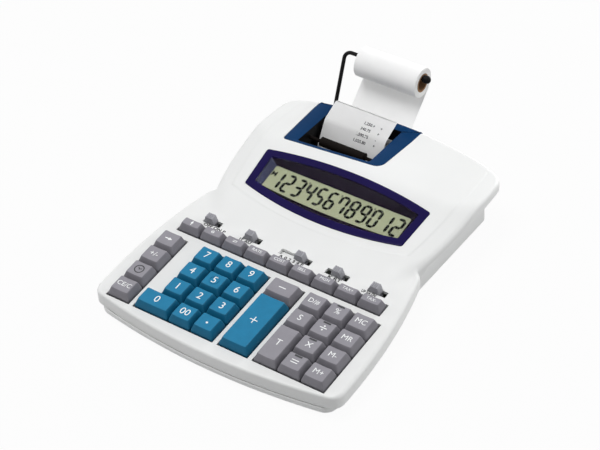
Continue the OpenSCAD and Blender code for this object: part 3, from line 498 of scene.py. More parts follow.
def grain_group():
    """Fine moulded grain with broad mottling, from the piece's own coordinates."""
    name = "Moulded Grain"
    if name in bpy.data.node_groups:
        return bpy.data.node_groups[name]
    group = bpy.data.node_groups.new(name, "ShaderNodeTree")
    for label, way in (("Grain Scale", "INPUT"), ("Mottle Scale", "INPUT"), ("Height", "OUTPUT"),
                       ("Mottle", "OUTPUT"), ("Speck", "OUTPUT")):
        group.interface.new_socket(label, in_out=way, socket_type="NodeSocketFloat")
    n, link = group.nodes, group.links.new
    inside, outside = n.new("NodeGroupInput"), n.new("NodeGroupOutput")
    coords = n.new("ShaderNodeTexCoord")
    fine, broad, speck = (n.new("ShaderNodeTexNoise") for _ in range(3))
    fine.inputs["Detail"].default_value = 2
    broad.inputs["Detail"].default_value = 3
    speck.inputs["Detail"].default_value = 1
    double = n.new("ShaderNodeMath")
    double.operation = "MULTIPLY"
    double.inputs[1].default_value = 0.45
    for tex in (fine, broad, speck):
        link(coords.outputs["Object"], tex.inputs["Vector"])
    link(inside.outputs["Grain Scale"], fine.inputs["Scale"])
    link(inside.outputs["Mottle Scale"], broad.inputs["Scale"])
    link(inside.outputs["Grain Scale"], double.inputs[0])
    link(double.outputs[0], speck.inputs["Scale"])
    link(fine.outputs["Fac"], outside.inputs["Height"])
    link(broad.outputs["Fac"], outside.inputs["Mottle"])
    link(speck.outputs["Fac"], outside.inputs["Speck"])
    return group


def ramp(nodes, stops):
    """A colour ramp node with the given (place, colour) stops."""
    node = nodes.new("ShaderNodeValToRGB")
    bar = node.color_ramp.elements
    while len(bar) < len(stops):
        bar.new(0.5)
    for element, (place, shade) in zip(bar, stops):
        element.position = place
        element.color = shade
    return node


def scaled(shade, k):
    """A colour made lighter or darker."""
    return (min(1, shade[0] * k), min(1, shade[1] * k), min(1, shade[2] * k), 1.0)


# Each finish: its colour, roughness, gloss, grain, grain's strength, mottle and mottle's strength
FINISHES = {
    "shell_plastic": ("shell", 0.42, 0.5, 2600, 0.10, 22, 0.02),
    "teal_plastic": ("teal", 0.36, 0.2, 3200, 0.12, 160, 0.06),
    # The keys' side finishes are darker copies of the key plastics: painted shade on the steep faces.
    "teal_side": ("teal", 0.34, 0.15, 3200, 0.08, 160, 0.06),
    "grey_plastic": ("grey", 0.38, 0.25, 3200, 0.12, 160, 0.05),
    "grey_side": ("grey", 0.34, 0.15, 3200, 0.08, 160, 0.06),
    "knob_plastic": ("knob", 0.4, 0.5, 3200, 0.12, 160, 0.05),
    "legend_print": ("legend", 0.5, 0.5, 4000, 0.05, 500, 0.03),
    "mark_print": ("mark", 0.5, 0.5, 4000, 0.05, 500, 0.1),
    "navy_plastic": ("navy", 0.3, 0.06, 2600, 0.08, 60, 0.08),
    # On the trim this black finish is painted shade; on the spindle cap it is the cap's own black.
    "black_lacquer_and_painted_shade": ("black", 0.45, 0.08, 2600, 0.08, 80, 0.1),
    "band_acrylic": ("indigo", 0.16, 0.06, 600, 0.01, 30, 0.12),
    "mask_acrylic": ("mask", 0.16, 0.02, 600, 0.01, 30, 0.15),
    # The well's lighter finish is a painted reflection.
    "wall_painted_reflection": ("sheen", 0.3, 0.2, 900, 0.03, 120, 0.3),
    "window_acrylic": ("window", 0.08, 0.5, 400, 0.004, 20, 0.01),
    "lcd_glass": ("lcd", 0.5, 0.1, 1500, 0.03, 55, 0.04),
    "segment_film": ("segment", 0.5, 0.02, 1500, 0.02, 300, 0.12),
    "paper_stock": ("paper", 0.85, 0.5, 900, 0.14, 90, 0.02),
    "print_figures": ("print_ink", 0.8, 0.5, 2500, 0.05, 900, 0.35),
    "roll_edge": ("paper", 0.9, 0.5, 2500, 0.2, 700, 0.06),
    "core_card": ("card", 0.85, 0.5, 1400, 0.25, 220, 0.18),
    "wire_lacquer": ("black", 0.25, 0.12, 700, 0.03, 90, 0.2),
    "black_rubber": ("rubber", 0.7, 0.2, 1500, 0.2, 120, 0.12),
    "ink_foam": ("foam", 0.8, 0.1, 900, 0.5, 260, 0.25),
    "pressed_steel": ("steel", 0.35, 0.5, 1200, 0.06, 90, 0.08),
    "dark_steel": ("plates", 0.4, 0.5, 1200, 0.06, 90, 0.1),
    "board_lacquer": ("board", 0.4, 0.5, 800, 0.08, 300, 0.2),
    "mat_rubber": ("mat", 0.65, 0.5, 1500, 0.15, 140, 0.08),
}
# Factors that darken a finish: painted shade on the keys' sides, a darker tone of the paper on the roll's
# ends.
DARKENED_BY = {"teal_side": 0.66, "grey_side": 0.78, "roll_edge": 0.9}
GRAIN_DEPTH = {"paper_stock": 0.00008, "core_card": 0.0001, "ink_foam": 0.0002}
OTHER_VALUES = {
    "paper_stock": {"Subsurface Weight": 0.45, "Subsurface Scale": 0.001, "Subsurface Radius": (1, 1, 1)},
    "pressed_steel": {"Metallic": 1.0},
    "dark_steel": {"Metallic": 0.8},
    "window_acrylic": {"Transmission Weight": 1.0, "IOR": 1.12},
}


def finished(name):
    """A finish by name: mottled colour, speckled roughness and a fine grained surface."""
    if name in bpy.data.materials:
        return bpy.data.materials[name]
    setting, rough, gloss, grain, bump, mottle, vary = FINISHES[name]
    shade = scaled(tone(setting), DARKENED_BY.get(name, 1.0))
    material = bpy.data.materials.new(name)
    material.use_nodes = True
    n, link = material.node_tree.nodes, material.node_tree.links.new
    bsdf = n["Principled BSDF"]
    group = n.new("ShaderNodeGroup")
    group.node_tree = grain_group()
    group.inputs["Grain Scale"].default_value = grain
    group.inputs["Mottle Scale"].default_value = mottle
    tint = ramp(n, ((0.3, scaled(shade, 1 - vary)), (0.7, scaled(shade, 1 + vary * 0.5))))
    link(group.outputs["Mottle"], tint.inputs["Fac"])
    link(tint.outputs["Color"], bsdf.inputs["Base Color"])
    span = n.new("ShaderNodeMapRange")
    span.inputs["To Min"].default_value = rough - 0.06
    span.inputs["To Max"].default_value = rough + 0.06
    link(group.outputs["Speck"], span.inputs["Value"])
    link(span.outputs["Result"], bsdf.inputs["Roughness"])
    lift = n.new("ShaderNodeBump")
    lift.inputs["Strength"].default_value = bump
    lift.inputs["Distance"].default_value = GRAIN_DEPTH.get(name, 0.00005)
    link(group.outputs["Height"], lift.inputs["Height"])
    link(lift.outputs["Normal"], bsdf.inputs["Normal"])
    bsdf.inputs["Specular IOR Level"].default_value = gloss
    for socket, value in OTHER_VALUES.get(name, {}).items():
        bsdf.inputs[socket].default_value = value
    if setting == "window":
        let_light_in(material.node_tree)
    return material


def let_light_in(tree):
    """Lets lamps shine through a clear finish without a shadow."""
    kinds = ("ShaderNodeLightPath", "ShaderNodeBsdfTransparent", "ShaderNodeMixShader")
    path, clear, mix = (tree.nodes.new(kind) for kind in kinds)
    tree.links.new(path.outputs["Is Shadow Ray"], mix.inputs["Fac"])
    tree.links.new(tree.nodes["Principled BSDF"].outputs[0], mix.inputs[1])
    tree.links.new(clear.outputs[0], mix.inputs[2])
    tree.links.new(mix.outputs[0], tree.nodes["Material Output"].inputs["Surface"])


# Outlines of the two shells, in plan


def circle_meet(a, ra, b, rb):
    """Where two circles meet, on the side of larger x."""
    d = (b - a).length
    along = (d * d + ra * ra - rb * rb) / (2 * d)
    aside = math.sqrt(max(0.0, ra * ra - along * along))
    u = (b - a) / d
    p, q = a + u * along + Vector((-u.y, u.x)) * aside, a + u * along - Vector((-u.y, u.x)) * aside
    return p if p.x > q.x else q


def both_halves(half):
    """A closed loop from its right half, which runs from the front's middle to the rear's middle."""
    left = [Vector((-p.x, p.y)) for p in reversed(half[1:-1])]
    return half + left


def front_half(half_w, front_in):
    """The right half's front: bow, corner and the side arc's centre and start."""
    bow_c = Vector((0, Y_FRONT + FRONT_BOW_R))
    side_c = Vector((half_w - SIDE_R, Y_FRONT + SIDE_WIDE))
    corner = circle_meet(bow_c, FRONT_BOW_R - CORNER_R, side_c, SIDE_R - CORNER_R)
    start, end = heading(corner - bow_c), heading(corner - side_c)
    points = arc(bow_c, FRONT_BOW_R - front_in, -math.pi / 2, start, FRONT_STEPS)
    points += arc(corner, CORNER_R - front_in, start, end, CORNER_STEPS)[1:]
    return points, side_c, end


def hood_rear():
    """The hood's rear corner and bow: the side arc's centre, where it ends, and the points after it."""
    side_c = Vector((HOOD_HALF - HOOD_SIDE_R, deck_y(HOOD_WIDE_V, 0)))
    bow_c = Vector((0, BOW_Y))
    corner = circle_meet(bow_c, REAR_BOW_R - HOOD_CORNER_R, side_c, HOOD_SIDE_R - HOOD_CORNER_R)
    start, end = heading(corner - side_c), heading(corner - bow_c)
    points = arc(corner, HOOD_CORNER_R, start, end, CORNER_STEPS)[1:]
    points += arc(bow_c, REAR_BOW_R, end, math.pi / 2, FRONT_STEPS)[1:]
    return side_c, start, points


def cover_loop():
    """The cover's outline: bowed front, waist and bowed hood."""
    points, side_c, side_start = front_half(HALF_W, 0.0)
    end_y = deck_y(WAIST_V, 0) - WAIST_R
    rise = end_y - side_c.y
    end_c = Vector((side_c.x + math.sqrt((SIDE_R - WAIST_R) ** 2 - rise * rise), end_y))
    side_end = heading(end_c - side_c)
    points += arc(side_c, SIDE_R, side_start, side_end, SIDE_STEPS)[1:]
    hood_c, hood_end, rear = hood_rear()
    notch = circle_meet(end_c, WAIST_R, hood_c, HOOD_SIDE_R)
    points += arc(end_c, WAIST_R, side_end, heading(notch - end_c), WAIST_STEPS)[1:]
    points += arc(hood_c, HOOD_SIDE_R, heading(notch - hood_c), hood_end, HOOD_STEPS)[1:]
    points += rear
    points[0].x = points[-1].x = 0.0
    return both_halves(points)


def base_loop():
    """The lower case's outline: proud of the cover in front, inside its sides, straight under the hood."""
    points, side_c, side_start = front_half(HALF_W - BASE_TUCK - BASE_PROUD, -BASE_PROUD)
    side_r = SIDE_R + BASE_PROUD
    end_y = deck_y(WAIST_V, 0) - BASE_SHORT
    side_end = math.asin((end_y - side_c.y) / side_r)
    points += arc(side_c, side_r, side_start, side_end, SIDE_STEPS)[1:]
    last, turn = points[-1], Vector((BASE_HALF, end_y + WAIST_RISE))
    points += [last.lerp(turn, i / WAIST_STEPS) for i in range(1, WAIST_STEPS + 1)]
    corner = Vector((BASE_HALF, rear_wall_y(BASE_HALF)))
    run = rear_wall_y(BASE_HALF) - BASE_CORNER_R - turn.y
    points += [Vector((BASE_HALF, turn.y + run * i / HOOD_STEPS)) for i in range(1, HOOD_STEPS + 1)]
    bow_c, bow_r = Vector((0, BOW_Y)), REAR_BOW_R - BASE_IN
    ahead = heading(corner - bow_c) + 0.04
    points += corner_cut(points[-1] - Vector((0, 9)), corner,
                         bow_c + bow_r * Vector((math.cos(ahead), math.sin(ahead))),
                         BASE_CORNER_R, CORNER_STEPS)[1:]
    points += arc(bow_c, bow_r, heading(points[-1] - bow_c), math.pi / 2, FRONT_STEPS)[1:]
    points[0].x = points[-1].x = 0.0
    return both_halves(points)


def soft_min(a, b, k):
    """The lesser of two heights, with a soft bend of size k between them."""
    h = max(k - abs(a - b), 0.0) / k
    return min(a, b) - h * h * k / 4


def smooth(t):
    """A soft step from nought to one."""
    t = max(0.0, min(1.0, t))
    return t * t * (3 - 2 * t)


def panel_reach(x, v):
    """How far a place lies inside the line round the raised panel; less than nought outside it."""
    w = (v - HOOD_V) / math.cos(HOOD_SLOPE)
    across, along = abs(x) - HOOD_HALF + HOOD_SIDE_R, deck_y(v, PANEL_H) - deck_y(HOOD_WIDE_V, 0)
    side = HOOD_SIDE_R - PANEL_IN - math.hypot(across, along)
    return min(PANEL_R - math.hypot(x, w - PANEL_C), side)


def top_height(x, v):
    """Height of the cover's top over the deck's plane: deck, soft rise, display, crest, printer panel."""
    beyond = -soft_min(0.0, SHOULDER_X - abs(x), SHOULDER_SOFT)
    slope = math.tan(HOOD_SLOPE)
    past = v - HOOD_V - beyond * math.tan(SHOULDER_SLOPE) / slope
    run = BLEND_TO - BLEND_FROM
    t = max(0.0, (past - BLEND_FROM) / run)
    display = past * slope
    if t < 1:
        display = BLEND_TO * slope * (3 * t ** 2 - 2 * t ** 3) + slope * run * (t ** 3 - t ** 2)
    printer = panel_z(v) - beyond * math.tan(REAR_SHOULDER_SLOPE)
    outside = 1 - smooth(panel_reach(x, v) / STEP_W + 0.5)
    step = PANEL_STEP * smooth((v - STEP_FROM) / STEP_RUN) * outside
    return soft_min(display, printer, CREST_SOFT) - step


def top_z(x, y):
    """World height of the cover's top at a plan place."""
    v, z = (y - Y_KEYS) / math.cos(DECK_SLOPE), 0.0
    for _ in range(3):
        z = top_height(x, v)
        v = (y - Y_KEYS + z * math.sin(DECK_SLOPE)) / math.cos(DECK_SLOPE)
    return deck_z(v, z)


def parting_height(v):
    """Height of the parting line over the deck's plane; it climbs under the hood."""
    for (v0, z0), (v1, z1) in zip(PARTING, PARTING[1:]):
        if v < v1:
            return z0 + (z1 - z0) * max(0.0, (v - v0) / (v1 - v0))
    return PARTING[-1][1]


def parting_z(y, raise_by=0.0):
    """World height of the parting line at a plan depth, raised by a height along the deck's normal."""
    v, z = (y - Y_KEYS) / math.cos(DECK_SLOPE), 0.0
    for _ in range(3):
        z = parting_height(v) + raise_by
        v = (y - Y_KEYS + z * math.sin(DECK_SLOPE)) / math.cos(DECK_SLOPE)
    return deck_z(v, z)


# Plan outlines on the hood and the printer panel


def line_meets(start, way, centre, r):
    """Where a line meets a circle, nearest to the line's start."""
    way = way.normalized()
    along = (centre - start).dot(way)
    foot = start + way * along
    reach = math.sqrt(r * r - (centre - foot).length_squared)
    return min((foot + way * reach, foot - way * reach), key=lambda p: (p - start).length)


def lens_outline(inset):
    """The display lens, moved inwards: bowed front and rear, slanting sides, rounded corners."""
    half_f, w_f, bow_f = LENS_FRONT
    half_r, w_r, bow_r = LENS_REAR
    r_f = (half_f ** 2 + bow_f ** 2) / (2 * bow_f)
    r_r = (half_r ** 2 + bow_r ** 2) / (2 * bow_r)
    front_c, rear_c = Vector((0, w_f - bow_f + r_f)), Vector((0, w_r + bow_r - r_r))
    side = Vector((half_r - half_f, w_r - w_f)).normalized()
    inner = Vector((-side.y, side.x)) * inset
    right_f = line_meets(Vector((half_f, w_f)) + inner, side, front_c, r_f - inset)
    right_r = line_meets(Vector((half_r, w_r)) + inner, side, rear_c, r_r - inset)
    a_f, a_r = heading(right_f - front_c), heading(right_r - rear_c)
    front = arc(front_c, r_f - inset, -math.pi - a_f, a_f, LENS_STEPS)
    rear = arc(rear_c, r_r - inset, a_r, math.pi - a_r, LENS_STEPS)
    r = LENS_CORNER_R - 0.1 * max(0.0, inset)
    loop = corner_cut(rear[-1], front[0], front[1], r, 5)
    loop += front[2:-2]
    loop += corner_cut(front[-2], front[-1], rear[0], r, 5)
    loop += corner_cut(front[-1], rear[0], rear[1], r, 5)
    loop += rear[2:-2]
    loop += corner_cut(rear[-2], rear[-1], front[0], r, 5)
    return loop


def rear_edge_w(x):
    """Distance from the crest to the hood's rear edge, along the printer panel."""
    sag = REAR_BOW_R - math.sqrt(REAR_BOW_R ** 2 - x * x)
    return (REAR_V - CREST_V) / math.cos(PANEL_SLOPE) - sag


def trim_front_w(x):
    """Distance from the crest to the trim's slanting front edge."""
    return TRIM_LEFT_W + (x + TRIM_FRONT) * (TRIM_RIGHT_W - TRIM_LEFT_W) / (2 * TRIM_FRONT)


def four_sides(corners, radii, rear):
    """A loop with rounded corners, from the front left round to the rear left, and a shaped rear side."""
    fl, fr, rr, rl = corners
    steps, corner_steps = 10, 6
    loop = corner_cut(rl, fl, fr, radii[0], corner_steps)
    cuts = [corner_cut(*three, r, corner_steps)
            for three, r in zip(((fl, fr, rr), (fr, rr, rl), (rr, rl, fl)), radii[1:])]
    for k, piece in enumerate(cuts):
        start = loop[-1]
        n = 2 * steps if k == 2 else steps
        for i in range(1, n):
            p = start.lerp(piece[0], i / n)
            loop.append(Vector((p.x, rear(p.x))) if k == 2 else p)
        loop += piece
    start = loop[-1]
    loop += [start.lerp(loop[0], i / steps) for i in range(1, steps)]
    return loop


def trim_outline():
    """The trim on the printer panel, out to the hood's rear edge."""
    reach = 2 * (REAR_V - CREST_V)
    spread = 2 * TRIM_REAR - TRIM_FRONT

    def rear_corner(side):
        w = 60.0
        for _ in range(6):
            front_w = TRIM_RIGHT_W if side > 0 else TRIM_LEFT_W
            half = TRIM_FRONT + (spread - TRIM_FRONT) * (w - front_w) / (reach - front_w)
            w = rear_edge_w(PAPER_X + side * half)
        return Vector((PAPER_X + side * half, w))

    corners = (Vector((PAPER_X - TRIM_FRONT, TRIM_LEFT_W)), Vector((PAPER_X + TRIM_FRONT, TRIM_RIGHT_W)),
               rear_corner(1), rear_corner(-1))
    return four_sides(corners, (2.5, 8.0, 0.6, 0.6), rear_edge_w)


def mouth_outline():
    """The opening in the trim."""
    half = MOUTH_W / 2
    left_w, right_w = trim_front_w(-half) + MOUTH_RIM, trim_front_w(half) + MOUTH_RIM
    corners = [Vector((PAPER_X + x, w))
               for x, w in ((-half, left_w), (half, right_w), (half, MOUTH_REAR), (-half, MOUTH_REAR))]
    return four_sides(corners, (1.2, 2.5, 1.0, 1.0), lambda x: MOUTH_REAR)


def well_outlines():
    """The key wells on the deck, with the gap round their keys."""
    g = WELL_GAP
    left, num, wide, pad = columns()
    depth = 4 * PITCH_Y
    wells = [box_points(x0 - g, x1 + g, y0 - g, y1 + g) for x0, x1, y0, y1 in (
        (-4.5 * PITCH_X, 4.5 * PITCH_X, TOP_V, TOP_V + TOP_D), (left, left + PITCH_X, 0, depth),
        (wide, wide + WIDE_W, 0, depth), (pad, pad + 3 * PITCH_X, 0, depth))]
    x0, x1, x2 = num - ZERO_EXTRA - g, num - g, num + 3 * PITCH_X + g
    wells.append([Vector(p) for p in ((x0, -g), (x2, -g), (x2, depth + g), (x1, depth + g),
                                      (x1, PITCH_Y + g), (x0, PITCH_Y + g))])
    return wells


def columns():
    """Left edges of the left column, the number keys, the wide keys and the right pad."""
    total = 7 * PITCH_X + sum(STRIPS) + WIDE_W
    left = -total / 2
    num = left + PITCH_X + STRIPS[0]
    wide = num + 3 * PITCH_X + STRIPS[1]
    return left, num, wide, wide + WIDE_W + STRIPS[2]


# Shells


def edge_rounds(loop, normals):
    """Rounding of the cover's top edge: crisp in front, softer at the sides and round the hood."""
    rounds = []
    for p, m in zip(loop, normals):
        side = size("front_round") + (size("side_round") - size("front_round")) * smooth((m.y + 0.95) / 0.6)
        hood = smooth((p.y - deck_y(HOOD_ROUND_V, 0)) / HOOD_ROUND_RUN)
        rounds.append(side + (size("hood_round") - side) * hood)
    return rounds


def cover_skin():
    """The cover's outer skin in millimetres: a patch over the top, a rounded edge and the side wall."""
    loop = cover_loop()
    normals = outward(loop)
    n = len(loop)
    rounds = edge_rounds(loop, normals)
    rim = [p - m * e for p, m, e in zip(loop, normals, rounds)]
    fr = FRONT_STEPS + CORNER_STEPS // 2
    rr = n // 2 - fr
    wide, deep = 2 * fr, rr - fr
    bm = bmesh.new()
    seat = bm.verts.layers.int.new("seat")
    bmesh.ops.create_grid(bm, x_segments=wide, y_segments=deep, size=1.0)
    fl_p, fr_p, rl_p, rr_p = rim[n - fr], rim[fr], rim[n - rr], rim[rr]
    for vert in bm.verts:
        i, j = round((vert.co.x + 1) / 2 * wide), round((vert.co.y + 1) / 2 * deep)
        u, t = i / wide, j / deep
        front, rear = rim[(n - fr + i) % n], rim[n - rr - i]
        left, right = rim[n - fr - j], rim[fr + j]
        p = front * (1 - t) + rear * t + left * (1 - u) + right * u
        p -= fl_p * (1 - u) * (1 - t) + fr_p * u * (1 - t) + rl_p * (1 - u) * t + rr_p * u * t
        vert.co = (p.x, p.y, 0.0)
        if j == 0:
            vert[seat] = (n - fr + i) % n
        elif j == deep:
            vert[seat] = n - rr - i
        elif i == 0:
            vert[seat] = n - fr - j
        elif i == wide:
            vert[seat] = fr + j
    near = [f for f in bm.faces
            if not any(v.is_boundary for v in f.verts) and on_panel_line(f.calc_center_median())]
    bmesh.ops.subdivide_edges(bm, edges=list({e for f in near for e in f.edges}), cuts=3, use_grid_fill=True)
    for vert in bm.verts:
        vert.co.z = top_z(vert.co.x, vert.co.y)
    edges = [e for e in bm.edges if len(e.link_faces) == 1]
    steps = 6
    rings = []
    for k in range(1, steps + 1):
        a = math.pi / 2 * k / steps
        ring = []
        for p, m, e in zip(loop, normals, rounds):
            q = p - m * e * (1 - math.sin(a))
            ring.append(Vector((q.x, q.y, top_z(q.x, q.y) - e * (1 - math.cos(a)))))
        rings.append(ring)
    for k in (0.5, 1.0):
        rings.append([Vector((p.x, p.y, q.z + (parting_z(p.y) + 0.5 - q.z) * k))
                      for p, q in zip(loop, rings[steps - 1])])
    for inset, rise in ((0.15, 0.15), (0.5, 0.0)):
        rings.append([Vector((p.x, p.y, parting_z(p.y) + rise)) for p in inset_loop(loop, normals, inset)])
    for ring in rings:
        edges, _ = grow(bm, edges, ring)
    face_up(bm)
    bm.transform(WORLD)
    return bm


def on_panel_line(p):
    """Whether a plan place lies close to the line round the raised panel."""
    v = (p.y - Y_KEYS) / math.cos(DECK_SLOPE)
    return v > 100 and abs(panel_reach(p.x, v)) < 3.2


def rounded_plan(x0, x1, y0, y1, r):
    """Plan points of a rectangle with rounded corners."""
    return [p.xy for p in rounded_rect(x0, x1, y0, y1, r, 0, 4)]


def in_rear_wall(bm, x, z):
    """A part turned about the X axis, set into the rear wall."""
    bm.transform(WORLD @ Matrix.Translation((x, rear_wall_y(x), z)) @ Matrix.Rotation(math.pi / 2, 4, "Z"))
    return bm


def upright(bm, x, y):
    """A part turned about the X axis, stood up on the ground."""
    bm.transform(WORLD @ Matrix.Translation((x, y, 0)) @ Matrix.Rotation(-math.pi / 2, 4, "Y"))
    return bm


class CALCULATOR_OT_cover(bpy.types.Operator):
    """Build the white upper cover with its wells, slots and recesses"""
    bl_idname = "calculator.cover"
    bl_label = "Upper Cover"

    def execute(self, context):
        lens = prism(lens_outline(-LENS_GAP), LENS_SEAT, CUT_TOP, HOOD)
        outline = trim_outline()
        grown = inset_loop(outline, outward(outline, 1), -TRIM_GAP)
        reach = [Vector((p.x, p.y + 25)) if p.y > 55 else p for p in grown]
        trim = prism(reach, TRIM_SEAT, CUT_TOP, PANEL)
        through = [prism(w, -CUT_TOP, CUT_TOP, DECK) for w in well_outlines()]
        for i, (travel, rest) in enumerate(zip(SWITCH_TRAVEL, SWITCH_REST)):
            x, half = SWITCH_X + (i - 2) * SWITCH_PITCH, NECK_HALF + travel + SWITCH_GAP
            slot = rounded_plan(x - half, x + rest + SWITCH_SLOT_REACH, SWITCH_V - SWITCH_SLOT_HALF,
                                SWITCH_V + SWITCH_SLOT_HALF, 0.6)
            through.append(prism(slot, -CUT_TOP, CUT_TOP, DECK))
        through.append(prism(lens_outline(size("lens_band") - 2.0), -CUT_TOP, 4, HOOD))
        bm = cut(cover_skin(), [lens, trim], through, wall=WALL)
        finish_piece("cover_shell", bm, ["shell_plastic"], "case", ["upper_cover"])
        return {"FINISHED"}


class CALCULATOR_OT_base(bpy.types.Operator):
    """Build the white lower case with its lip, paper slot, sockets and screw holes"""
    bl_idname = "calculator.base"
    bl_label = "Lower Case"

    def execute(self, context):
        loop, cover = base_loop(), cover_loop()
        normals = outward(loop)
        lip = inset_loop(cover, outward(cover), WALL + LIP_GAP)
        inner = inset_loop(loop, normals, WALL + 1.4)
        r, edge = size("base_round"), size("base_edge")
        rings = []
        for k in range(7):
            a = math.pi / 2 * k / 6
            bottom = inset_loop(loop, normals, r * (1 - math.sin(a)))
            rings.append(flat_points(bottom, FOOT_H + r * (1 - math.cos(a))))
        outside = [(p - q).dot(m) > 0 for p, q, m in zip(loop, lip, normals)]
        for k in range(6):
            a = math.pi / 2 * k / 5
            ring = []
            for p, m, o in zip(loop, normals, outside):
                q = p - m * edge * (1 - math.cos(a)) if o else p
                drop = PARTING_GAP + edge * (1 - math.sin(a)) if o else edge * (1 - k / 5) + LIP_H
                ring.append(Vector((q.x, q.y, parting_z(q.y, -drop))))
            rings.append(ring)
        for rise, ledge in ((-PARTING_GAP, -LIP_H), (0.0, -LIP_H / 2), (LIP_H, LIP_H)):
            rings.append([Vector((q.x, q.y, parting_z(c.y, rise if o else ledge)))
                          for q, c, o in zip(lip, cover, outside)])
        rings.append([Vector((p.x, p.y, parting_z(p.y, LIP_H))) for p in inner])
        rings.append(flat_points(inner, FLOOR_Z))
        bm = loft(rings)
        bm.transform(WORLD)
        plan = rounded_plan(PAPER_X - MOUTH_W / 2, PAPER_X + MOUTH_W / 2, -SLOT_HALF, SLOT_HALF, 1.0)
        slot_at = DECK @ Matrix.Translation((0, *SLOT)) @ Matrix.Rotation(math.pi / 2, 4, "X")
        slot = prism(plan, -7.5, 7.5, slot_at)
        sockets = [in_rear_wall(lathe([(-depth, radius), (4, radius)], 48), x, z)
                   for x, z, radius, depth in SOCKETS]
        holes = [upright(lathe(SCREW_HOLE, 40), x, y) for x, y in screw_places()]
        mouth = mouth_outline()
        room = prism(inset_loop(mouth, outward(mouth, 1), -1.7), -12.2, CUT_TOP, PANEL)
        bm = cut(bm, [room], [slot], sockets, holes)
        sleeves = []
        for x, z, radius, depth in SOCKETS:
            end, outer = -depth - SLEEVE_T, radius + SLEEVE_T
            profile = [(-1.3, radius), (-depth, radius), (-depth, 0.01), (end, 0.01), (end, outer),
                       (-1.3, outer)]
            sleeves.append(in_rear_wall(lathe(profile, 48, closed=True), x, z))
        bm = joined([bm, *sleeves])
        finish_piece("case_tub", bm, ["shell_plastic"], "case", ["lower_case"])
        return {"FINISHED"}


def screw_places():
    """The four case screws, in plan."""
    front = (HALF_W - SCREW_SIDE, Y_FRONT + SCREW_FRONT)
    rear = (BASE_HALF - SCREW_IN, rear_wall_y(BASE_HALF) - SCREW_IN)
    return [(side * x, y) for x, y in (front, rear) for side in (-1, 1)]


class CALCULATOR_OT_trim(bpy.types.Operator):
    """Build the navy trim round the printer's opening"""
    bl_idname = "calculator.trim"
    bl_label = "Printer Trim"

    def execute(self, context):
        outline, mouth = trim_outline(), mouth_outline()
        out_n, mouth_n = outward(outline, 1), outward(mouth, 1)
        rear = [max(0.0, min(1.0, (p.y - rear_edge_w(p.x) + 3) / 2.5)) for p in outline]

        def outer(k):
            a = math.pi / 2 * k
            ring = []
            for p, m, s in zip(outline, out_n, rear):
                r = 0.5 + 1.5 * s
                q = p - m * (r * (1 - math.cos(a)))
                ring.append(Vector((q.x, q.y, -r * (1 - math.sin(a)))))
            return ring

        def inner(spread, z):
            return flat_points(inset_loop(mouth, mouth_n, -spread), z)

        rings = [flat_points(outline, -2.5)] + [outer(k / 4) for k in range(5)]
        rings += [inner(spread, z) for spread, z in (
            (0.5, 0), (0.25, -0.07), (0.07, -0.25), (0, -0.5), (0, -6), (0, -12), (1.5, -12), (1.5, -2.5))]
        # The skirt under the trim's edge, the mouth's inner walls and the rear edge take the black finish:
        # painted shade for the gap lines and the shadowed walls.
        bm = loft(rings, closed=True, mats=[1] + [0] * 7 + [1] * 5)
        paint(bm, 1, lambda face: face.normal.y > 0.3 and face.calc_center_median().y > 50)
        bm.transform(PANEL)
        finish_piece("mouth_trim", bm, ["navy_plastic", "black_lacquer_and_painted_shade"], "case", ["printer_trim"])
        return {"FINISHED"}


# Display

SEGMENTS = {"0": "abcdef", "1": "bc", "2": "abged", "3": "abgcd", "4": "fgbc", "5": "afgcd", "6": "afgedc",
            "7": "abcf", "8": "abcdefg", "9": "abcdfg"}


def bar_plate(a, b, t):
    """A bar with pointed ends between two plan points."""
    d = (b - a).normalized()
    m = Vector((-d.y, d.x)) * t / 2
    e = d * t / 2
    return plate([a, a + e - m, b - e - m, b, b - e + m, a + e + m])


def figure_plates(text):
    """Seven-segment figures in a row, leaning a little to the right."""
    parts = []
    w, h, half = FIGURE_W, FIGURE_H, FIGURE_H / 2
    ends = {"a": ((0, h), (w, h)), "b": ((w, h), (w, half)), "c": ((w, half), (w, 0)), "d": ((0, 0), (w, 0)),
            "e": ((0, half), (0, 0)), "f": ((0, h), (0, half)), "g": ((0, half), (w, half))}
    for i, figure in enumerate(text):
        for name in SEGMENTS[figure]:
            p, q = (Vector(e) for e in ends[name])
            d = (q - p).normalized() * BAR_W * BAR_GAP
            bar = bar_plate(p + d, q - d, BAR_W)
            for vert in bar.verts:
                lean = (vert.co.y - half) * FIGURE_LEAN
                vert.co.x += FIGURE_X + i * FIGURE_PITCH - w / 2 + lean
                vert.co.y += FIGURE_V - half
            parts.append(bar)
    return parts


def window_ring(spread, z):
    """The display's opening, with as many points as the lens's outline: bowed front, straight rear."""
    half, front, rear = WINDOW_HALF + spread, WINDOW_FRONT - spread, WINDOW_REAR + spread
    corners = box_points(-half, half, front, rear)
    loop = []
    for k in range(4):
        turn = corner_cut(corners[k - 1], corners[k], corners[(k + 1) % 4], 1.2, 5)
        if k in (1, 3):
            start, n = loop[-1], LENS_STEPS - 2
            loop += [start.lerp(turn[0], i / n) for i in range(1, n)]
        loop += turn
    for p in loop:
        if p.y < (front + rear) / 2:
            p.y -= WINDOW_BOW * (1 - (p.x / half) ** 2)
    return flat_points(loop, z)


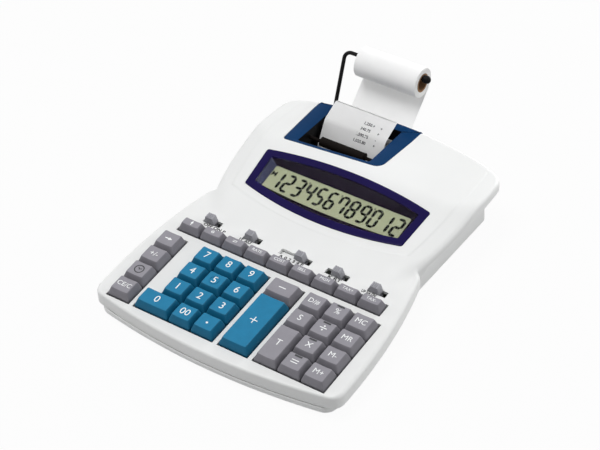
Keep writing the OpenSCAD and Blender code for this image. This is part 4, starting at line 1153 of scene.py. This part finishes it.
class CALCULATOR_OT_display(bpy.types.Operator):
    """Build the indigo lens, the dark well under it, the display and its figures"""
    bl_idname = "calculator.display"
    bl_label = "Display"

    def execute(self, context):
        band, depth = size("lens_band"), size("lcd_depth")

        def at(inset, z):
            return flat_points(lens_outline(inset), z)

        rings = [at(inset, z) for inset, z in (
            (0, -1.5), (0, 0.1), (0.06, 0.3), (0.2, 0.44), (0.4, 0.5),
            (band - 0.3, 0.5), (band - 0.08, 0.42), (band, 0.2), (band, -1.5))]
        pane = loft([at(band + 0.02, -1.4), at(band + 0.02, -0.1)])
        paint(pane, 1)
        bm = joined([loft(rings, closed=True), pane])
        bm.transform(HOOD)
        finish_piece("lens_cover", bm, ["band_acrylic", "window_acrylic"], "case",
                     ["display_lens"])
        low = -depth + 0.1
        rings = [at(band - 1.0, -1.6), at(band + 0.1, -1.6), window_ring(0.0, low),
                 window_ring(0.0, low - 0.6), window_ring(3.0, low - 0.6), at(band - 1.0, -2.4)]
        well = loft(rings, closed=True)
        # The well's left wall takes the lighter finish: a painted reflection.
        paint(well, 1, lambda face: face.normal.x > 0.35 and face.calc_center_median().x < -58)
        well.transform(HOOD)
        finish_piece("display_well", well, ["mask_acrylic", "wall_painted_reflection"], "case")
        glass = loft([rounded_rect(-LCD_HALF + e, LCD_HALF - e, LCD_FRONT + e, LCD_REAR - e, r, z)
                      for e, r, z in ((0, 0.5, -depth - 1.6), (0, 0.5, -depth - 0.2), (0.2, 0.4, -depth))])
        glass.transform(HOOD)
        finish_piece("lcd_glass_panel", glass, ["lcd_glass"], "case", ["lcd_panel"])
        parts = figure_plates("123456789012")
        for k in (2, 5, 8):
            tick = bar_plate(Vector((0.5, 1.0)), Vector((0.2, -1.0)), 1.0)
            bmesh.ops.translate(tick, verts=tick.verts, vec=(FIGURE_X + k * FIGURE_PITCH + 5.0, 70.6, 0))
            parts.append(tick)
        letter = words("M", 4.6, 0.12)
        bmesh.ops.translate(letter, verts=letter.verts, vec=(-58.6, 66.8, 0))
        parts.append(letter)
        figures = joined([thickened(part, 0.04) for part in parts])
        figures.transform(HOOD @ Matrix.Translation((0, 0, -depth + 0.01)))
        finish_piece("lcd_figures", figures, ["segment_film"], "case")
        return {"FINISHED"}


# Keys


def spot(x, y, r):
    """A flat disc."""
    return plate(arc((x, y), r, 0, 2 * math.pi, 24)[:-1])


def stroke(x0, y0, x1, y1, t):
    """A straight printed stroke."""
    p, q = Vector((x0, y0)), Vector((x1, y1))
    d = (q - p).normalized()
    m = Vector((-d.y, d.x)) * t / 2
    return plate([p - m, q - m, q + m, p + m])


def triangle(x, y, r, turn):
    """A printed arrow head."""
    return plate([Vector((x + r * math.cos(turn + a), y + r * math.sin(turn + a)))
                  for a in (0, math.radians(130), math.radians(230))])


def hoop(x, y, r, t, sides=32):
    """A printed ring."""
    ring = arc((x, y), r, 0, 2 * math.pi, sides)
    return joined([stroke(*p, *q, t) for p, q in zip(ring, ring[1:])])


def legend(name):
    """The printed parts of a key's legend: flat meshes in millimetres round the middle of its top."""
    if name in ("key_multiply", "key_divide", "key_plus", "key_minus", "key_equals"):
        k = 1.2 if name in ("key_plus", "key_minus") else 1.1
        r, t = 2.6 * k, 0.75
        flat = [stroke(-r, 0, r, 0, t)]
        return {"key_minus": flat, "key_plus": flat + [stroke(0, -r, 0, r, t)],
                "key_divide": flat + [spot(0, 1.9, 0.7), spot(0, -1.9, 0.7)],
                "key_equals": [stroke(-r, 1.1, r, 1.1, t), stroke(-r, -1.1, r, -1.1, t)],
                "key_multiply": [stroke(-2.2, -2.2, 2.2, 2.2, t), stroke(-2.2, 2.2, 2.2, -2.2, t)]}[name]
    if name == "key_point":
        return [spot(0, -0.6, 0.9)]
    if name == "key_feed":
        return [stroke(0, -2.0, 0, 0.8, 0.8), triangle(0, 0.8, 1.5, math.pi / 2)]
    if name == "key_shift":
        return [stroke(-3.0, 0, 1.2, 0, 0.9), triangle(1.4, 0, 1.9, 0)]
    if name == "key_clock":
        return [hoop(0, 0, 3.6, 0.9), stroke(0, 0, -1.5, 1.5, 0.7), stroke(0, 0, 2.0, 0.9, 0.7),
                spot(0, 0, 0.6)]
    if name == "key_local":
        return [hoop(-0.4, 0, 1.1, 0.4, 20)] + [stroke(-1.9, y, 0.6, y, 0.35) for y in (0.35, -0.35)]
    if name == "key_convert":
        return [stroke(-1.8, 0.6, 1.0, 0.6, 0.4), triangle(1.2, 0.6, 0.8, 0),
                stroke(-1.0, -0.7, 1.8, -0.7, 0.4), triangle(-1.2, -0.7, 0.8, math.pi)]
    text, height = LEGENDS[name]
    return [words(text, height)]


LEGENDS = {
    "key_rate": ("RATE", 2.6), "key_cost": ("COST", 2.6), "key_sell": ("SELL", 2.6),
    "key_margin": ("MGN", 2.6), "key_tax_plus": ("TAX+", 2.6), "key_tax_minus": ("TAX-", 2.6),
    "key_clear": ("CE/C", 4.1), "key_sign": ("+/-", 4.6), "key_00": ("00", 6.0),
    "key_total": ("T", 5.6), "key_subtotal": ("S", 5.4), "key_date": ("D/#", 4.2),
    "key_percent": ("%", 5.0), "key_memory_plus": ("M+", 4.6), "key_memory_minus": ("M-", 4.6),
    "key_memory_recall": ("MR", 4.6), "key_memory_clear": ("MC", 4.6),
}
LEGENDS.update({f"key_{i}": (str(i), 6.2) for i in range(10)})


def key_places():
    """Each key: name, left edge, front edge, width, depth and whether it is teal."""
    left, num, wide, pad = columns()
    names = ("feed", "local", "convert", "rate", "cost", "sell", "margin", "tax_plus", "tax_minus")
    keys = [(n, (i - 4.5) * PITCH_X, TOP_V, PITCH_X, TOP_D, False) for i, n in enumerate(names)]
    for x, column in ((left, ("clear", "clock", "sign", "shift")),
                      (pad + PITCH_X, ("equals", "multiply", "divide", "percent")),
                      (pad + 2 * PITCH_X, ("memory_plus", "memory_minus", "memory_recall", "memory_clear"))):
        keys += [(n, x, i * PITCH_Y, PITCH_X, PITCH_Y, False) for i, n in enumerate(column)]
    keys += [("0", num - ZERO_EXTRA, 0, PITCH_X + ZERO_EXTRA, PITCH_Y, True),
             ("00", num + PITCH_X, 0, PITCH_X, PITCH_Y, True),
             ("point", num + 2 * PITCH_X, 0, PITCH_X, PITCH_Y, True)]
    keys += [(str(3 * r + c + 1), num + c * PITCH_X, (r + 1) * PITCH_Y, PITCH_X, PITCH_Y, True)
             for r in range(3) for c in range(3)]
    keys += [("plus", wide, 0, WIDE_W, 3 * PITCH_Y, True),
             ("minus", wide, 3 * PITCH_Y, WIDE_W, PITCH_Y, False),
             ("total", pad, 0, PITCH_X, 2 * PITCH_Y, False),
             ("subtotal", pad, 2 * PITCH_Y, PITCH_X, PITCH_Y, False),
             ("date", pad, 3 * PITCH_Y, PITCH_X, PITCH_Y, False)]
    return [("key_" + n, *place) for n, *place in keys]


def keycap(w, d, mark_parts):
    """A keycap in millimetres from its left front corner: hollow, sloping sides, dished top and legend."""
    g, r, corner = size("key_gap") / 2, size("key_round"), size("key_corner")
    top, dish = size("key_height"), size("key_dish")
    half_top = w / 2 - g - KEY_SIDE_IN

    def sag(x):
        k = min(1.0, abs(x - w / 2) / half_top)
        return dish * (1 - k * k)

    def ring(rise, inset, z, weight=0.0):
        pts = rounded_rect(g + KEY_SIDE_IN * rise + inset, w - g - KEY_SIDE_IN * rise - inset,
                           g + KEY_FRONT_IN * rise + inset, d - g - KEY_REAR_IN * rise - inset,
                           max(0.3, corner - inset * 0.5), z, KEY_STEPS, KEY_ALONG)
        for p in pts:
            p.z -= weight * sag(p.x)
        return pts

    inside = top - dish - KEY_WALL
    rings = [ring(inside / top, KEY_WALL, inside), ring(0, KEY_WALL, KEY_FOOT), ring(0, KEY_WALL, -WALL),
             ring(0, 0.1, -WALL), ring(0, 0, -WALL + 0.15), ring(0, 0, KEY_FOOT - 0.3)]
    rings += [ring(k, 0, KEY_FOOT + (top - KEY_FOOT) * k) for k in (0.04, 0.3, 0.6)]
    reach = 1 - r / (top - KEY_FOOT)
    rings.append(ring(reach, 0, KEY_FOOT + (top - KEY_FOOT) * reach, 0.7))
    for k in range(1, 6):
        a = math.pi / 2 * k / 5
        rings.append(ring(reach + (1 - reach) * math.sin(a), r * 0.7 * (1 - math.cos(a)),
                          top - r * (1 - math.sin(a)), 0.7 + 0.3 * k / 5))
    room = min(half_top, (d - 2 * g - KEY_FRONT_IN - KEY_REAR_IN) / 2)
    for part in (0.3, 0.6, 0.9):
        rings.append(ring(1, r * 0.7 + (room - r * 0.7) * part, top, 1.0))
    bm = loft(rings)
    seat = bm.verts.layers.int["seat"]
    lid = max((f for f in bm.faces if len(f.verts) > 4), key=lambda f: f.calc_center_median().z)
    seats = {v[seat]: v for v in lid.verts}
    quarter = KEY_STEPS + 1 + KEY_ALONG
    for i in range(KEY_STEPS, quarter + 1):
        bmesh.ops.connect_vert_pair(bm, verts=[seats[i], seats[3 * quarter + KEY_STEPS - i]])
    stem = lathe([(-WALL - 1.5, 1.8), (top - dish - KEY_WALL / 2, 1.8)], 32)
    stem.transform(Matrix.Translation((w / 2, d / 2, 0)) @ Matrix.Rotation(-math.pi / 2, 4, "Y"))
    middle = (g + KEY_FRONT_IN + d - g - KEY_REAR_IN) / 2
    prints = []
    for part, mat, shift in mark_parts:
        thick = thickened(part, size("legend_lift") if mat else size("ring_lift"), mat)
        for vert in thick.verts:
            vert.co.x += w / 2 + shift[0]
            vert.co.y += middle + shift[1]
            vert.co.z += top - sag(vert.co.x) + 0.01
        prints.append(thick)
    return joined([bm, stem, *prints])


class CALCULATOR_OT_keys(bpy.types.Operator):
    """Build the thirty-eight keys with their legends"""
    bl_idname = "calculator.keys"
    bl_label = "Keys"

    def execute(self, context):
        for name, x, y, w, d, teal in key_places():
            marks = [(part, 2 if name == "key_clock" else 1, (0, 0)) for part in legend(name)]
            if name in ("key_equals", "key_multiply", "key_divide", "key_percent"):
                marks.append((stroke(-3.1, 0, 3.1, 0, 1.5), 2, (0, 5.1)))
            if name == "key_5":
                marks.append((hoop(0, 0, 3.7, 0.5), 0, (0, 0)))
            bm = keycap(w, d, marks)
            bm.normal_update()
            # The key's steep sides take the darker copy of its plastic: painted shade.
            paint(bm, 3, lambda face: face.material_index == 0 and abs(face.normal.z) < 0.78)
            bm.transform(DECK @ Matrix.Translation((x, y, 0)))
            tint = "teal" if teal else "grey"
            finishes = [tint + "_plastic", "legend_print", "mark_print", tint + "_side"]
            finish_piece(name.replace("key_", "keycap_"), bm, finishes, name + "_body",
                         [name], sharp=50.0)
        return {"FINISHED"}


class CALCULATOR_OT_switches(bpy.types.Operator):
    """Build the five slide knobs and the printed marks beside them"""
    bl_idname = "calculator.switches"
    bl_label = "Slide Switches"

    def execute(self, context):
        for i in range(5):
            node = f"switch_{i + 1}"
            bm = refined(node, 0.22)
            if i == 2:
                x = SWITCH_X + SWITCH_REST[i]
                cover = rounded_plan(x - 19.0, x - 1.0, SWITCH_V - 2.6, SWITCH_V + 2.6, 0.5)
                slide = prism(cover, -4.0, -3.0, DECK)
                paint(slide, 1)
                bm = joined([bm, slide])
            finish_piece(f"slide_knob_{i + 1}", bm, ["knob_plastic", "shell_plastic"], node + "_body",
                         [node])
        parts = []
        marks = (("OFF ON P", -66.5, 20.0), ("IT AU", -38.0, 10.4), ("A 0 2 3 4 F", 3.9, 21.6),
                 ("K RT", 42.2, 11.2), ("UP 5/4 DN", 72.0, 12.0))
        for text, x, width in marks:
            print_part = words(text, 2.6, 0.12)
            reach = max(v.co.x for v in print_part.verts) - min(v.co.x for v in print_part.verts)
            print_part.transform(Matrix.Diagonal((width / reach, 1, 1, 1)))
            print_part = thickened(print_part, 0.04)
            print_part.transform(Matrix.Translation((x, 94.0, 0.01)))
            parts.append(print_part)
        bm = joined(parts)
        bm.transform(DECK)
        finish_piece("switch_marks", bm, ["mark_print"], "case")
        return {"FINISHED"}


# Printer and paper


def paper_route():
    """Places along the paper's side view, from the roll to its torn end."""
    roll = Vector((ROLL_V, ROLL_Z))
    reach = (roll - SLOT).length
    a = heading(roll - SLOT) - math.asin((ROLL_R + PAPER_GAP) / reach)
    web = SLOT + math.sqrt(reach ** 2 - (ROLL_R + PAPER_GAP) ** 2) * Vector((math.cos(a), math.sin(a)))
    wrap = PLATEN_R + PAPER_GAP + PAPER_T / 2
    keep = [web] + corner_cut(web, SLOT, UNDER, PAPER_BEND, 12) + corner_cut(SLOT, UNDER, BEND, wrap, 24)
    keep += corner_cut(UNDER, BEND, STRIP_END, PAPER_BEND, 12) + [STRIP_END]
    fine = [keep[0]]
    for p in keep[1:]:
        n = max(1, math.ceil((p - fine[-1]).length / 1.5))
        start = fine[-1]
        fine += [start.lerp(p, i / n) for i in range(1, n + 1)]
    return fine


def platen_place():
    """The platen's axis in side view."""
    p, q = (SLOT - UNDER).normalized(), (BEND - UNDER).normalized()
    half = math.acos(p.dot(q)) / 2
    return UNDER + (p + q).normalized() * (PLATEN_R + PAPER_GAP + PAPER_T / 2) / math.sin(half)


class CALCULATOR_OT_printer(bpy.types.Operator):
    """Build the printer's frame, its toothed platen and its ink roller"""
    bl_idname = "calculator.printer"
    bl_label = "Printer"

    def execute(self, context):
        plates = refined("printer_frame", 0.2)
        finish_piece("printer_plates", plates, ["dark_steel"], "case", ["printer_frame"])
        frame_half = MOUTH_W / 2 + 1.5 + 2.0
        end = frame_half + 1.6 + 1.0
        gear = -frame_half + 0.4
        half = PAPER_W / 2
        pin = [(-end, 1.0), (-end, 1.3), (-end + 0.2, 1.5)]
        rubber = [(-half, 1.5), (-half, PLATEN_R - 0.4), (-half + 0.4, PLATEN_R)]
        profile = pin + [(gear, 1.5), (gear, 5.5), (gear + 2, 5.5), (gear + 2, 1.5)] + rubber
        profile += [(-x, r) for x, r in reversed(pin + rubber)]

        def teeth(place, i, sides):
            return 0.82 if place in (4, 5) and i * 36 // sides % 2 else 1.0

        bm = lathe(profile, 108, tooth=teeth)
        bm.transform(DECK @ Matrix.Translation((PAPER_X, *platen_place())))
        finish_piece("platen", bm, ["black_rubber"], "platen", ["platen_roller"])
        left = pin + [(-INK_HALF - 1.5, 1.5), (-INK_HALF, 4.0), (-INK_HALF, 3.85)]
        bm = lathe(left + [(-x, r) for x, r in reversed(left)], 64)
        bm.transform(DECK @ Matrix.Translation((PAPER_X, INK_V, INK_Z)))
        finish_piece("ink_cylinder", bm, ["ink_foam"], "ink", ["ink_roller"])
        return {"FINISHED"}


class CALCULATOR_OT_paper(bpy.types.Operator):
    """Build the paper strip with its printed figures, the roll and its card core"""
    bl_idname = "calculator.paper"
    bl_label = "Paper"

    def execute(self, context):
        route = paper_route()
        n, across, half, t = len(route), TEAR_TEETH, PAPER_W / 2, STRIP_HALF_T
        sheet = DECK @ Matrix.Translation((PAPER_X, 0, 0))

        def way(i):
            return (route[min(i + 1, n - 1)] - route[max(i - 1, 0)]).normalized()

        rings = []
        for i, p in enumerate(route):
            d = way(i)
            m = Vector((-d.y, d.x))
            ring = []
            for side in (1, -1):
                for j in range(across + 1):
                    k = j if side > 0 else across - j
                    tear = (0.45 if k % 2 else -0.25) if i == n - 1 else 0.0
                    q = p + m * t * side + d * tear
                    ring.append(Vector((-half + PAPER_W * k / across, q.x, q.y)))
            rings.append(ring)
        bm = loft(rings)
        bm.transform(sheet)
        finish_piece("paper_web", bm, ["paper_stock"], "case", ["paper_strip"])
        lengths = [0.0]
        for p, q in zip(route, route[1:]):
            lengths.append(lengths[-1] + (q - p).length)

        def on_strip(x, s, lift):
            at = lengths[-1] - s
            i = max(k for k in range(n - 1) if lengths[k] <= at or k == 0)
            p = route[i].lerp(route[i + 1], (at - lengths[i]) / (lengths[i + 1] - lengths[i]))
            d = way(i).lerp(way(i + 1), 0.5)
            m = Vector((-d.y, d.x))
            q = p + m * (t + lift)
            return Vector((x, q.x, q.y))

        parts = []
        amounts = (("1,250.+", "+"), ("340.75", "+"), ("1,590.75", "-"), ("1,025.80", "*"))
        for row, (amount, sign) in enumerate(amounts):
            for text, x in ((amount, AMOUNT_X - 0.8 * row), (sign, SIGN_X)):
                part = thickened(words(text, 2.4, 0.08), 0.03)
                for vert in part.verts:
                    along = ROW_FIRST + row * ROW_PITCH - vert.co.y
                    vert.co = on_strip(vert.co.x + x, along, vert.co.z + 0.01)
                parts.append(part)
        bm = joined(parts)
        bm.transform(sheet)
        finish_piece("printed_figures", bm, ["print_figures"], "case")
        axle = DECK @ Matrix.Translation((PAPER_X, ROLL_V, ROLL_Z))
        profile = [(-half + 0.2, ROLL_R), (half - 0.2, ROLL_R)]
        layers = 12
        for side in (1, -1):
            radii = [ROLL_R - 0.15 - (ROLL_R - CORE_R - 0.2) * k / layers for k in range(layers + 1)]
            flank = [(side * (half - (0.0 if k % 2 else 0.12)), r) for k, r in enumerate(radii)]
            profile += flank if side > 0 else flank[::-1]
        roll = lathe(profile, 96, closed=True)
        paint(roll, 1, lambda face: abs(face.normal.x) > 0.5)
        roll.transform(axle)
        finish_piece("paper_coil", roll, ["paper_stock", "roll_edge"], "roll", ["paper_roll"])
        tube = [(-half, CORE_R), (half, CORE_R), (half, CORE_BORE), (-half, CORE_BORE)]
        core = lathe(tube, 72, closed=True)
        core.transform(axle)
        finish_piece("card_core", core, ["core_card"], "roll", ["roll_core"])
        return {"FINISHED"}


class CALCULATOR_OT_wire(bpy.types.Operator):
    """Build the black wire arm that carries the roll, and its end cap"""
    bl_idname = "calculator.wire"
    bl_label = "Wire Arm"

    def execute(self, context):
        post, out = Vector((0, math.sin(WIRE_LEAN), math.cos(WIRE_LEAN))), Vector((1, 0, 0))
        top = Vector((WIRE_X, deck_y(ROLL_V, ROLL_Z), deck_z(ROLL_V, ROLL_Z) + CORE_BORE - WIRE_R - 0.3))
        turn = math.pi / 2 - WIRE_LEAN
        foot_y = top.y - (top.z - WIRE_LEG_Z) * math.tan(WIRE_LEAN)
        foot_c = Vector((WIRE_X, foot_y - WIRE_BEND * math.tan(turn / 2), WIRE_LEG_Z + WIRE_BEND))
        top_c = top + WIRE_BEND * (out - post)
        line = [(Vector((WIRE_X, rear_wall_y(WIRE_X) - WIRE_GRIP + 0.05, WIRE_LEG_Z)), Vector((0, 1, 0)))]
        for i in range(17):
            s, c = math.sin(turn * i / 16), math.cos(turn * i / 16)
            line.append((foot_c + WIRE_BEND * Vector((0, s, -c)), Vector((0, c, s))))
        for i in range(17):
            s, c = math.sin(math.pi / 2 * i / 16), math.cos(math.pi / 2 * i / 16)
            line.append((top_c + WIRE_BEND * (post * s - out * c), out * s + post * c))
        line.append((Vector((PAPER_X + PAPER_W / 2 + 6, top.y, top.z)), out))
        up = Vector((0, -math.cos(WIRE_LEAN), math.sin(WIRE_LEAN)))
        sides = context.scene.calculator.sizes.wire_sides
        rings = []
        for place, way in line:
            e = (up - way * up.dot(way)).normalized()
            f = way.cross(e)
            around = [2 * math.pi * i / sides for i in range(sides)]
            rings.append([place + WIRE_R * (e * math.cos(a) + f * math.sin(a)) for a in around])
        bm = loft(rings)
        bm.transform(WORLD)
        finish_piece("wire_arm", bm, ["wire_lacquer"], "case", ["roll_wire"])
        r, flat = CAP_R, CAP_LONG - CAP_R
        profile = [(5.0, 1.65), (0, 1.65), (0, r - 0.2), (0.2, r)]
        bends = [math.radians(7.5 * k) for k in range(12)]
        profile += [(flat + r * math.sin(a), r * math.cos(a)) for a in bends]
        profile += [(CAP_LONG, 0.05), (5.0, 0.05)]
        cap = lathe(profile, 48, closed=True)
        cap.transform(WORLD @ Matrix.Translation((PAPER_X + PAPER_W / 2 + 1.0, top.y, top.z)))
        finish_piece("spindle_cap", cap, ["black_lacquer_and_painted_shade"], "case", ["wire_cap"])
        return {"FINISHED"}


class CALCULATOR_OT_fixings(bpy.types.Operator):
    """Build the feet and the screws, and finish the board and the mat inside"""
    bl_idname = "calculator.fixings"
    bl_label = "Feet and Screws"

    def execute(self, context):
        (fx, fy), (rx, ry) = screw_places()[1::2]
        sole = [(FOOT_H, 7.0), (0.5, 7.0), (0.15, 6.85), (0, 6.5), (0, 4.0), (0.4, 3.6), (0.4, 0.5)]
        feet = [upright(lathe(sole, 56), x, y)
                for x, y in ((fx - FOOT_ASIDE, fy), (-fx + FOOT_ASIDE, fy),
                             (rx, ry - FOOT_ASIDE), (-rx, ry - FOOT_ASIDE))]
        finish_piece("foot_pads", joined(feet), ["black_rubber"], "case", ["rubber_feet"])
        top = deck_z((SCREW_FRONT - KEY_SETBACK) / math.cos(DECK_SLOPE), 0) - WALL
        shape = [(2.1, 0.3), (2.1, 2.3), (2.3, 2.65), (2.7, 2.8), (3.9, 2.8), (3.9, 1.5), (top - 1, 1.5),
                 (top, 0.8)]
        screws = []
        for x, y in screw_places():
            body = lathe(shape, 40)
            body.transform(Matrix.Rotation(-math.pi / 2, 4, "Y"))
            bar = box_points(-1.7, 1.7, -0.35, 0.35)
            cross = [prism(bar, 1.0, 3.1, Matrix.Rotation(a, 4, "Z")) for a in (0, math.pi / 2)]
            body = cut(body, cross[:1], cross[1:])
            body.transform(WORLD @ Matrix.Translation((x, y, 0)))
            screws.append(body)
        finish_piece("screw_set", joined(screws), ["pressed_steel"], "case", ["case_screws"])
        inside = (("key_mat", "mat_rubber", "mat_rubber"), ("main_board", "board_lacquer", "board"))
        for node, name, slot in inside:
            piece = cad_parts[node]
            piece.data.materials.clear()
            piece.data.materials.append(finished(name))
        return {"FINISHED"}


# Stage


# Each lamp: its place, what it looks at, its width and its power
LAMPS = {
    "key_lamp": ((-0.3, -0.25, 1.65), (0, 0, 0.03), 0.9, 16.5),
    "left_lamp": ((-1.5, -0.6, 0.7), (0, 0, 0.03), 1.0, 4.0),
    "right_lamp": ((1.4, 0.6, 0.8), (0, 0, 0.03), 1.0, 6.0),
    "rear_lamp": ((0.25, 1.6, 0.5), (0, 0.1, 0.1), 1.0, 14.0),
}
CAMERA_AT, CAMERA_LENS = Vector((0.652815, -0.896732, 0.965709)), 115.858
CAMERA_RIGHT = Vector((0.82139057, 0.5684288, -0.04697054))
CAMERA_UP = Vector((-0.33850965, 0.55211525, 0.76195798))


def area_lamp(name, place, aim, width, watts):
    """A large soft lamp that looks at a place."""
    data = bpy.data.lights.new(name, "AREA")
    data.shape = "DISK"
    data.size = width
    data.energy = watts
    lamp = bpy.data.objects.new(name, data)
    lamp.location = place
    lamp.rotation_euler = (Vector(aim) - Vector(place)).to_track_quat("-Z", "Y").to_euler()
    bpy.context.scene.collection.objects.link(lamp)


def seen_rays(tree):
    """A value that is one for rays that show the background: camera, glossy and transmission rays."""
    path = tree.nodes.new("ShaderNodeLightPath")
    first, second = tree.nodes.new("ShaderNodeMath"), tree.nodes.new("ShaderNodeMath")
    first.operation = second.operation = "MAXIMUM"
    tree.links.new(path.outputs["Is Camera Ray"], first.inputs[0])
    tree.links.new(path.outputs["Is Glossy Ray"], first.inputs[1])
    tree.links.new(first.outputs[0], second.inputs[0])
    tree.links.new(path.outputs["Is Transmission Ray"], second.inputs[1])
    return second.outputs[0]


class CALCULATOR_OT_stage(bpy.types.Operator):
    """Set the pale floor, the white backdrop, the soft lamps and the camera"""
    bl_idname = "calculator.stage"
    bl_label = "Stage"

    def execute(self, context):
        scene = context.scene
        scene.view_settings.view_transform = "Standard"
        world = bpy.data.worlds.new("white_room")
        scene.world = world
        world.use_nodes = True
        tree = world.node_tree
        ground = tree.nodes["Background"]
        mix = tree.nodes.new("ShaderNodeMix")
        mix.data_type = "RGBA"
        mix.inputs["A"].default_value = (0.26, 0.26, 0.265, 1)
        mix.inputs["B"].default_value = (1, 1, 1, 1)
        tree.links.new(seen_rays(tree), mix.inputs["Factor"])
        tree.links.new(mix.outputs["Result"], ground.inputs["Color"])
        bm = bmesh.new()
        bmesh.ops.create_circle(bm, cap_ends=True, segments=96, radius=6.0)
        floor = as_object("pale_floor", bm)
        material = bpy.data.materials.new("pale_paper")
        material.use_nodes = True
        tree = material.node_tree
        bsdf = tree.nodes["Principled BSDF"]
        bsdf.inputs["Base Color"].default_value = (0.6, 0.6, 0.6, 1)
        bsdf.inputs["Roughness"].default_value = 0.9
        bsdf.inputs["Specular IOR Level"].default_value = 0.0
        glow = tree.nodes.new("ShaderNodeEmission")
        blend = tree.nodes.new("ShaderNodeMixShader")
        part = tree.nodes.new("ShaderNodeMath")
        part.operation = "MULTIPLY"
        part.inputs[1].default_value = 0.95
        tree.links.new(seen_rays(tree), part.inputs[0])
        tree.links.new(part.outputs[0], blend.inputs["Fac"])
        tree.links.new(bsdf.outputs[0], blend.inputs[1])
        tree.links.new(glow.outputs[0], blend.inputs[2])
        tree.links.new(blend.outputs[0], tree.nodes["Material Output"].inputs["Surface"])
        floor.data.materials.append(material)
        for name, values in LAMPS.items():
            area_lamp(name, *values)
        data = bpy.data.cameras.new("camera")
        data.sensor_width = 36.0
        data.lens = CAMERA_LENS
        data.clip_start, data.clip_end = 0.05, 30.0
        camera = bpy.data.objects.new("camera", data)
        axes = Matrix((CAMERA_RIGHT, CAMERA_UP, CAMERA_RIGHT.cross(CAMERA_UP)))
        camera.matrix_world = Matrix.Translation(CAMERA_AT) @ axes.transposed().to_4x4()
        scene.collection.objects.link(camera)
        scene.camera = camera
        return {"FINISHED"}


STEPS = (CALCULATOR_OT_cover, CALCULATOR_OT_base, CALCULATOR_OT_trim, CALCULATOR_OT_display,
         CALCULATOR_OT_keys, CALCULATOR_OT_switches, CALCULATOR_OT_printer, CALCULATOR_OT_paper,
         CALCULATOR_OT_wire, CALCULATOR_OT_fixings, CALCULATOR_OT_stage)


class CALCULATOR_PT_panel(bpy.types.Panel):
    """Settings and steps of the calculator's finish"""
    bl_idname = "CALCULATOR_PT_panel"
    bl_label = "Printing Calculator"
    bl_space_type = "VIEW_3D"
    bl_region_type = "UI"
    bl_category = "Calculator"

    def draw(self, context):
        settings = context.scene.calculator
        for group in (settings.sizes, settings.colours):
            column = self.layout.column()
            for name in group.__annotations__:
                column.prop(group, name)
        for step in STEPS:
            self.layout.operator(step.bl_idname)


CLASSES = (CALCULATOR_PG_sizes, CALCULATOR_PG_colours, CALCULATOR_PG_settings, *STEPS, CALCULATOR_PT_panel)


def register():
    for kind in CLASSES:
        bpy.utils.register_class(kind)
    bpy.types.Scene.calculator = PointerProperty(type=CALCULATOR_PG_settings)


def unregister():
    del bpy.types.Scene.calculator
    for kind in reversed(CLASSES):
        bpy.utils.unregister_class(kind)


def main():
    register()
    bpy.ops.calculator.cover()
    bpy.ops.calculator.base()
    bpy.ops.calculator.trim()
    bpy.ops.calculator.display()
    bpy.ops.calculator.keys()
    bpy.ops.calculator.switches()
    bpy.ops.calculator.printer()
    bpy.ops.calculator.paper()
    bpy.ops.calculator.wire()
    bpy.ops.calculator.fixings()
    bpy.ops.calculator.stage()


if __name__ == "__main__":
    main()
